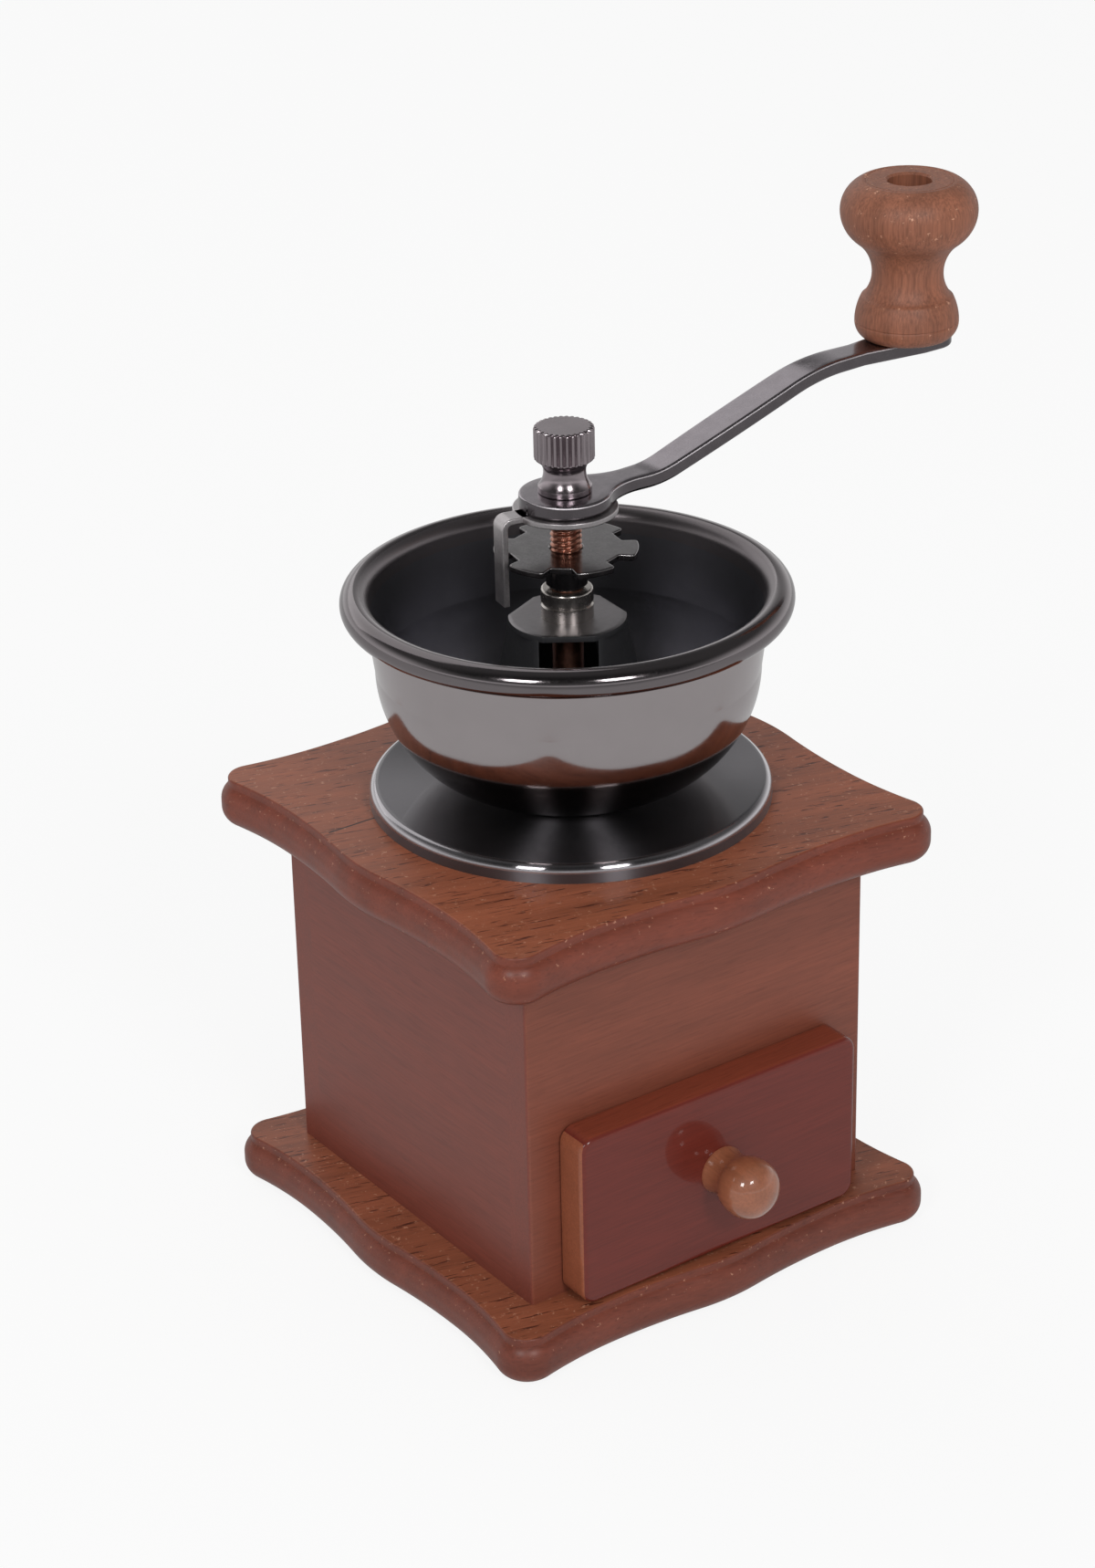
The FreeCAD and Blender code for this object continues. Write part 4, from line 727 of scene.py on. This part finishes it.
# Crank
# A flat bar forged with an eye at one end and a wider tip at the other, bent twice so that it rises,
# tumbled and plated gunmetal grey. The eye fits over the spindle's flats, and the knob's rivet goes
# through the tip.
arm_thick, arm_corner, eye, shoulder, bar, bar_bulge = 2.7, 0.6, 8.2, 12.0, 2.85, 0.65
flare_start, flare_end, tip_half = 66.0, 79.0, 4.6
bend_start, bend_end, low_bend, high_bend = 19.3, 54.8, 20.0, 38.0
arm_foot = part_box("crank_arm")[0].z / MM
arm_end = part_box("crank_arm")[1].x / MM
arm_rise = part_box("crank_arm")[1].z / MM - arm_foot - arm_thick
hollow = math.sqrt((eye + shoulder) ** 2 - (bar + shoulder) ** 2)
touch = np.array([hollow, bar + shoulder]) * eye / (eye + shoulder)
bar_arc = (flare_start - hollow) ** 2 / (8 * bar_bulge) + bar_bulge / 2
half_plan = trace(
    (-eye, 0), (0, eye, -eye), (*touch, -eye), (hollow, bar, shoulder), (flare_start, bar, -bar_arc),
    (flare_end, tip_half), (arm_end - tip_half, tip_half), (arm_end, 0, -tip_half), spacing=0.3)
run = bend_end - bend_start
slope = np.array([run, arm_rise]) / math.hypot(run, arm_rise)
half_turn = (math.hypot(run, arm_rise) - run) / arm_rise
low_reach, high_reach = low_bend * half_turn, high_bend * half_turn
low = np.array([bend_start, arm_foot + arm_thick / 2])
high = low + [run, arm_rise]
spine = trace(
    (-eye, low[1]), (low[0] - low_reach, low[1]), (*(low + low_reach * slope), low_bend),
    high - high_reach * slope, (high[0] + high_reach, high[1], -high_bend), (arm_end, high[1]))
stations = np.unique(np.concatenate([half_plan[:, 0], np.linspace(-eye, arm_end, 240)]))
arm_path = np.stack([stations, np.interp(stations, *spine.T)], 1)
arm_widths = np.interp(stations, *half_plan.T)
bent_crank = surface("bent_crank", swept(arm_path, arm_widths, arm_thick, arm_corner))
# The crank's upright faces are painted darker as shade, and their rounded corners carry a painted
# highlight.
bent_crank.data.materials.append(zinc_steel(
    "tumbled_gunmetal_steel", "#A19A9F", 0.14, 0.26, grit=0.25, sides="#6A6568"))
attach(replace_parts(bent_crank, "crank_arm"), "crank_shaft")

# Knob and its rivet
# The knob is turned from beech with a bulging foot, a slim neck between two small steps and a flat-topped
# head, stained lightly. A steel rivet, its head sunk in the hole in the top, holds it on the arm and lets
# it turn.
reach = 77.9
knob_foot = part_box("crank_knob")[0].z / MM
knob_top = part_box("crank_knob")[1].z / MM
foot_radius, foot_arc, bulge, bulge_up = 8.2, 3.3, 9.6, 2.8
ledge, ledge_up, collar, collar_up, knob_step, step_half = 8.45, 7.6, 9.8, 17.9, 0.5, 0.2
neck, neck_up, belly, belly_up, top_radius = 6.55, 11.9, 12.55, 23.7, 8.7
line_up, line_deep, line_half, bulge_fall = 3.0, 0.12, 0.2, 0.02
ring_line, ring_line_half = 8.0, 0.15
hole_radius, hole_depth, hole_chamfer = 4.05, 12.0, 0.4
axle_radius, axle_gap = 2.0, 0.1
chipped_rings = np.array([2.6, 7.4, 18.2, 21.2, 22.1, 23.0, 25.2, 26.1, 29.2])
knob_high = knob_top - knob_foot


def upright(across, along):
    """Radius of an arc that starts parallel to the axis and moves by across while it climbs along."""
    return (across ** 2 + along ** 2) / (2 * across)


low_neck, high_neck = ledge - knob_step, collar - knob_step
line_radius = bulge - bulge_fall
axle_bore = axle_radius + axle_gap
knob = trace(
    (axle_bore, 0), (foot_radius, 0), (line_radius, line_up - line_half, foot_arc),
    (line_radius - line_deep, line_up), (line_radius, line_up + line_half),
    (ledge, ledge_up - step_half, upright(bulge - ledge, ledge_up - bulge_up)),
    (low_neck, ledge_up + step_half),
    (neck, neck_up, -upright(low_neck - neck, neck_up - ledge_up - step_half)),
    (high_neck, collar_up - step_half, -upright(high_neck - neck, collar_up - neck_up - step_half)),
    (collar, collar_up + step_half),
    (belly, belly_up, upright(belly - collar, belly_up - collar_up - step_half)),
    (top_radius, knob_high, upright(belly - top_radius, knob_high - belly_up)),
    (ring_line + ring_line_half, knob_high), (ring_line, knob_high - line_deep),
    (ring_line - ring_line_half, knob_high), (hole_radius + hole_chamfer, knob_high),
    (hole_radius, knob_high - hole_chamfer), (hole_radius, knob_high - hole_depth),
    (axle_bore, knob_high - hole_depth), (axle_bore, 0), spacing=0.3, support=0.05)
turned_knob = surface("turned_knob", turned(knob, sides=144) + [reach, 0, knob_foot])
turned_knob.data.materials.append(stained_beech(
    "lightly_stained_knob_beech", along_z, "#8C5A45", "#8A5640", "#6A3D2C", chipped_rings + knob_foot,
    chips=1.0, flecks=0.45, rough=0.5, coat=0.0, fibres=0.28))
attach(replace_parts(turned_knob, "crank_knob"), "knob")
rivet_head, rivet_crown, rivet_thick, rivet_edge, rivet_gap = 3.4, 2.2, 1.8, 0.9, 0.1
tail_radius, tail_dome, tail_edge, tail_up = 1.6, 0.15, 0.1, 0.3
arm_under = arm_foot + arm_rise
rivet_floor = knob_top - hole_depth
rivet = trace(
    (0, arm_under - tail_dome), (tail_radius, arm_under - tail_edge), (axle_radius, arm_under + tail_up),
    (axle_radius, rivet_floor + rivet_gap), (rivet_head, rivet_floor + rivet_gap),
    (rivet_head, rivet_floor + rivet_edge), (rivet_crown, rivet_floor + rivet_thick, rivet_crown),
    (0, rivet_floor + rivet_thick), spacing=0.2)
knob_rivet = surface("knob_rivet", turned(rivet, sides=64) + [reach, 0, 0])
knob_rivet.data.materials.append(screw_zinc)
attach(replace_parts(knob_rivet, "knob_axle"), "crank_shaft")

# Thumb nut
# Turned from steel bar, with a foot, a hollow waist and a head that is fluted all round for the fingers.
# It screws on to the spindle's end and clamps the crank.
nut_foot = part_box("thumb_nut")[0].z / MM
nut_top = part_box("thumb_nut")[1].z / MM
nut_high = nut_top - nut_foot
flange, flange_high, flange_edge, waist, waist_up, waist_arc = 4.75, 1.1, 0.15, 3.8, 4.3, 4.0
head, head_up, head_arc, head_chamfer, head_rise, nut_chamfer = 5.35, 6.0, 2.5, 0.3, 0.25, 0.55
nut_bore, nut_middle = 9.0, 1.0
flutes, flute_points, flute_depth, flute_sharpness = 30, 8, 0.5, 1.6
flute_run_in, flute_fade, flute_fade_run = 0.3, 0.9, 0.5
nut = trace(
    (bore, 0), (flange - flange_edge, 0), (flange, flange_edge, flange_edge), (flange, flange_high),
    (waist, waist_up, -waist_arc), (head - head_chamfer, head_up, -head_arc), (head, head_up + head_rise),
    (head, nut_high - nut_chamfer), (head - nut_chamfer, nut_high, nut_chamfer), (nut_middle, nut_high),
    (0, nut_high), spacing=0.2)
nut = np.concatenate([nut, [(0, nut_bore), (bore, nut_bore), (bore, 0)]])
nut_grid = turned(nut, sides=flutes * flute_points)
angle = np.linspace(0, 2 * math.pi, flutes * flute_points, endpoint=False)
above_waist = np.clip((nut[:, 1] - head_up) / flute_run_in, 0, 1)
near_rim = np.clip((nut[:, 0] - head + flute_fade) / flute_fade_run, 0, 1)
flute = (0.5 - 0.5 * np.cos(flutes * angle)) ** flute_sharpness
fluting = 1 - flute_depth / head * (above_waist * near_rim)[:, None] * flute
nut_grid[..., :2] *= fluting[..., None]
fluted_nut = surface("fluted_nut", nut_grid + [0, 0, nut_foot])
fluted_nut.data.materials.append(black_nickel(
    "turned_grey_nut_steel", "#A0969A", 0.16, 0.26, ring=0.4, rings=0.2, stretch=0.4))
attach(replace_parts(fluted_nut, "thumb_nut"), "clamp_nut")

# Drawer
# A small box of bare thin boards behind a thick beech front, which is stained with the box and sprayed
# with a gloss lacquer. Its edges are rounded over, and it stands proud of the wall round its opening.
def bare_wood(name):
    """Planed light wood without stain or lacquer: pale, dull, with faint fibres along Y."""
    made, tree, spot = finish_of(name)
    cell = (0.6 * MM, 14 * MM, 0.6 * MM)
    lengths = add(tree, "Mapping", {"Vector": spot, "Scale": cell}, vector_type="TEXTURE")
    fibre = add(tree, "TexNoise", {"Vector": lengths, "Scale": 1.0, "Detail": 4.0})
    wood = blend(tree, fibre, "#A98058", "#D6B48C")
    rough = spread(tree, fibre, 0, 1, 0.55, 0.75)
    shade(tree, Base_Color=wood, Roughness=rough, Normal=bumps(tree, fibre, 0.3, 0.08))
    return made


dress(bare_wood("planed_bare_drawer_wood"), "drawer_left_side", "drawer_right_side", "drawer_back",
      "drawer_bottom")
front_low, front_high = (np.array(corner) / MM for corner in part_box("drawer_front"))
front_width, front_thick, front_height = front_high - front_low
front_middle = (front_low[2] + front_high[2]) / 2
front_corner, front_round, back_edge, front_land = 3.0, 1.0, 0.2, 2.0
front_outline = rounded_box(front_width / 2, front_height / 2, front_corner)
front_rim = trace(
    (front_land, 0), (back_edge, 0), (0, back_edge, -back_edge), (0, front_thick - front_round),
    (front_round, front_thick, -front_round), (front_land, front_thick))


def laid_forward(grid, back):
    """Lays a piece down so that its top looks to the front, with its foot at y = back."""
    return np.stack([grid[..., 0], back - grid[..., 2], front_middle + grid[..., 1]], 2)


drawer_face = surface("drawer_face", laid_forward(poles(rimmed(front_outline, front_rim)), front_high[1]))
drawer_face.data.materials.append(stained_beech(
    "gloss_lacquered_drawer_beech", along_x, "#7C3A28", "#64241B", "#3C1710", flecks=0.2, gleam=0.15,
    coat=0.6, coat_rough=0.05, banding=0.08, end="#8A4E36"))
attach(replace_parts(drawer_face, "drawer_front"), "drawer")

# Drawer pull
# Turned from beech: a short neck that swells to a blunt round head. It is dipped in gloss lacquer and held
# by a screw from inside the drawer.
pull_length, pull_bore, bore_depth = 12.9, 1.5, 9.0
pull_foot, pull_foot_high, pull_neck, pull_neck_up = 4.6, 0.4, 4.35, 2.1
swell, swell_up, ball, ball_up, cheek, cheek_up = 4.85, 4.6, 5.6, 7.8, 4.3, 11.2
pull_neck_arc, ball_arc, cheek_arc, nose_arc = 7.0, 6.5, 4.6, 7.0
pull = trace(
    (pull_bore, 0), (pull_foot, 0), (pull_foot, pull_foot_high), (pull_neck, pull_neck_up, -pull_neck_arc),
    (swell, swell_up, -pull_neck_arc), (ball, ball_up, ball_arc), (cheek, cheek_up, cheek_arc),
    (0, pull_length, nose_arc), spacing=0.2)
pull = np.concatenate([pull, [(0, bore_depth), (pull_bore, bore_depth), (pull_bore, 0)]])
turned_pull = surface("turned_pull", laid_forward(turned(pull, sides=96), front_low[1]))
turned_pull.data.materials.append(stained_beech(
    "gloss_dipped_pull_beech", along_y, "#8E553A", "#90563B", "#6E3A28", flecks=0.3, coat=1.0,
    coat_rough=0.04))
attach(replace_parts(turned_pull, "drawer_pull"), "drawer")
dress(screw_zinc, "pull_screw")

# Floor and light
# A white table top that runs out of sight, in a white studio that is darker overhead and behind the
# camera. Two small soft lamps stand beside the camera, and a large dim one behind the mill.
backdrop, table_half = "#FCFCFC", 6.0
to_camera, from_camera = (-0.576, -0.817, 0), (0.576, 0.817, 0)
corners = [(-1, -1), (1, -1), (1, 1), (-1, 1)]
floor_mesh = bpy.data.meshes.new("white_table")
floor_mesh.from_pydata([(table_half * x, table_half * y, 0) for x, y in corners], [], [(0, 1, 2, 3)])
floor = bpy.data.objects.new("white_table", floor_mesh)
bpy.context.scene.collection.objects.link(floor)


def mirrored_ray(tree):
    """1 for light that reaches the eye by a mirror or through glass, and 0 otherwise."""
    return maths(tree, "MAXIMUM", *[add(tree, "LightPath", out=f"Is {kind} Ray")
                                    for kind in ("Glossy", "Transmission")])


# The table glows white to the eye, so that it has no edge, and mirrors see it fall off towards the camera.
white, tree, spot = finish_of("matt_white_table_laminate")
mirrored = mirrored_ray(tree)
seen = maths(tree, "MAXIMUM", add(tree, "LightPath", out="Is Camera Ray"), mirrored)
ahead = add(tree, "VectorMath", {0: spot, 1: to_camera}, operation="DOT_PRODUCT", out="Value")
table = spread(tree, ahead, 0.2, 0.6, 0.58, 0.3, interpolation_type="SMOOTHSTEP")
bright = add(tree, "Mix", {0: mirrored, 2: 1.0, 3: table})
lit = add(tree, "BsdfDiffuse", {"Color": linear(backdrop)})
glow = add(tree, "Emission", {"Color": linear(backdrop), "Strength": bright})
share = maths(tree, "MULTIPLY", seen, 0.9)
add(tree, "OutputMaterial", {"Surface": add(tree, "MixShader", {0: share, 1: lit, 2: glow})})
floor_mesh.materials.append(white)

world = bpy.data.worlds.new("white_studio")
world.use_nodes = True
tree = world.node_tree
tree.nodes.clear()
way = add(tree, "TexCoord", out="Generated")
rise = part(tree, way, "Z")
ceiling = spread(tree, rise, 0.05, 0.6, 1.0, 0.12, interpolation_type="SMOOTHSTEP")
behind = add(tree, "VectorMath", {0: way, 1: from_camera}, operation="DOT_PRODUCT", out="Value")
drape = spread(tree, behind, -0.6, 0.1, 0.25, 1.0, interpolation_type="SMOOTHSTEP")
horizon = spread(tree, rise, 0.2, 0.08)
room = maths(tree, "MAXIMUM", maths(tree, "MULTIPLY", ceiling, drape), horizon)
strength = add(tree, "Mix", {0: mirrored_ray(tree), 2: 0.5, 3: room})
strength = add(tree, "Mix", {0: add(tree, "LightPath", out="Is Camera Ray"), 2: strength, 3: 1.0})
studio = add(tree, "Background", {"Color": linear(backdrop), "Strength": strength})
add(tree, "OutputWorld", {"Surface": studio})
bpy.context.scene.world = world


def lamp(name, place, aim, size, power):
    """A square soft lamp, in metres and watts, that looks at a point."""
    light = bpy.data.lights.new(name, "AREA")
    light.size = size
    light.energy = power
    made = bpy.data.objects.new(name, light)
    facing = (Vector(aim) - Vector(place)).to_track_quat("-Z", "Y")
    made.matrix_world = Matrix.Translation(place) @ facing.to_matrix().to_4x4()
    bpy.context.scene.collection.objects.link(made)


lamp("right_lamp", (-0.24, -1.33, 1.0), aim=(0, 0, 0.08), size=0.35, power=8.0)
lamp("left_lamp", (-1.17, -0.67, 1.0), aim=(0, 0, 0.08), size=0.35, power=7.0)
lamp("back_lamp", (0.1, 1.1, 1.05), aim=(0, 0, 0.1), size=1.2, power=3.2)

# Camera
# It stands off the mill's left front corner, about twice as high as the knob, and looks down on the mill
# through a long lens.
bpy.context.scene.view_settings.view_transform = "Standard"
azimuth, elevation, roll = (math.radians(a) for a in (-35.204, 25.921, -1.302))
distance, aim = 0.632706, np.array([-23.25, -25.63, 103.767]) * MM
level_back = np.array([math.sin(azimuth), -math.cos(azimuth), 0])
back = level_back * math.cos(elevation) + [0, 0, math.sin(elevation)]
level_right = np.array([math.cos(azimuth), math.sin(azimuth), 0])
level_up = np.cross(back, level_right)
right = level_right * math.cos(roll) + level_up * math.sin(roll)
up = level_up * math.cos(roll) - level_right * math.sin(roll)
pose = np.eye(4)
pose[:3] = np.stack([right, up, back, aim + back * distance], 1)
view = bpy.data.cameras.new("camera")
view.lens = 85.02
view.sensor_width = 36
camera = bpy.data.objects.new("camera", view)
camera.matrix_world = Matrix(pose)
bpy.context.scene.collection.objects.link(camera)
bpy.context.scene.camera = camera
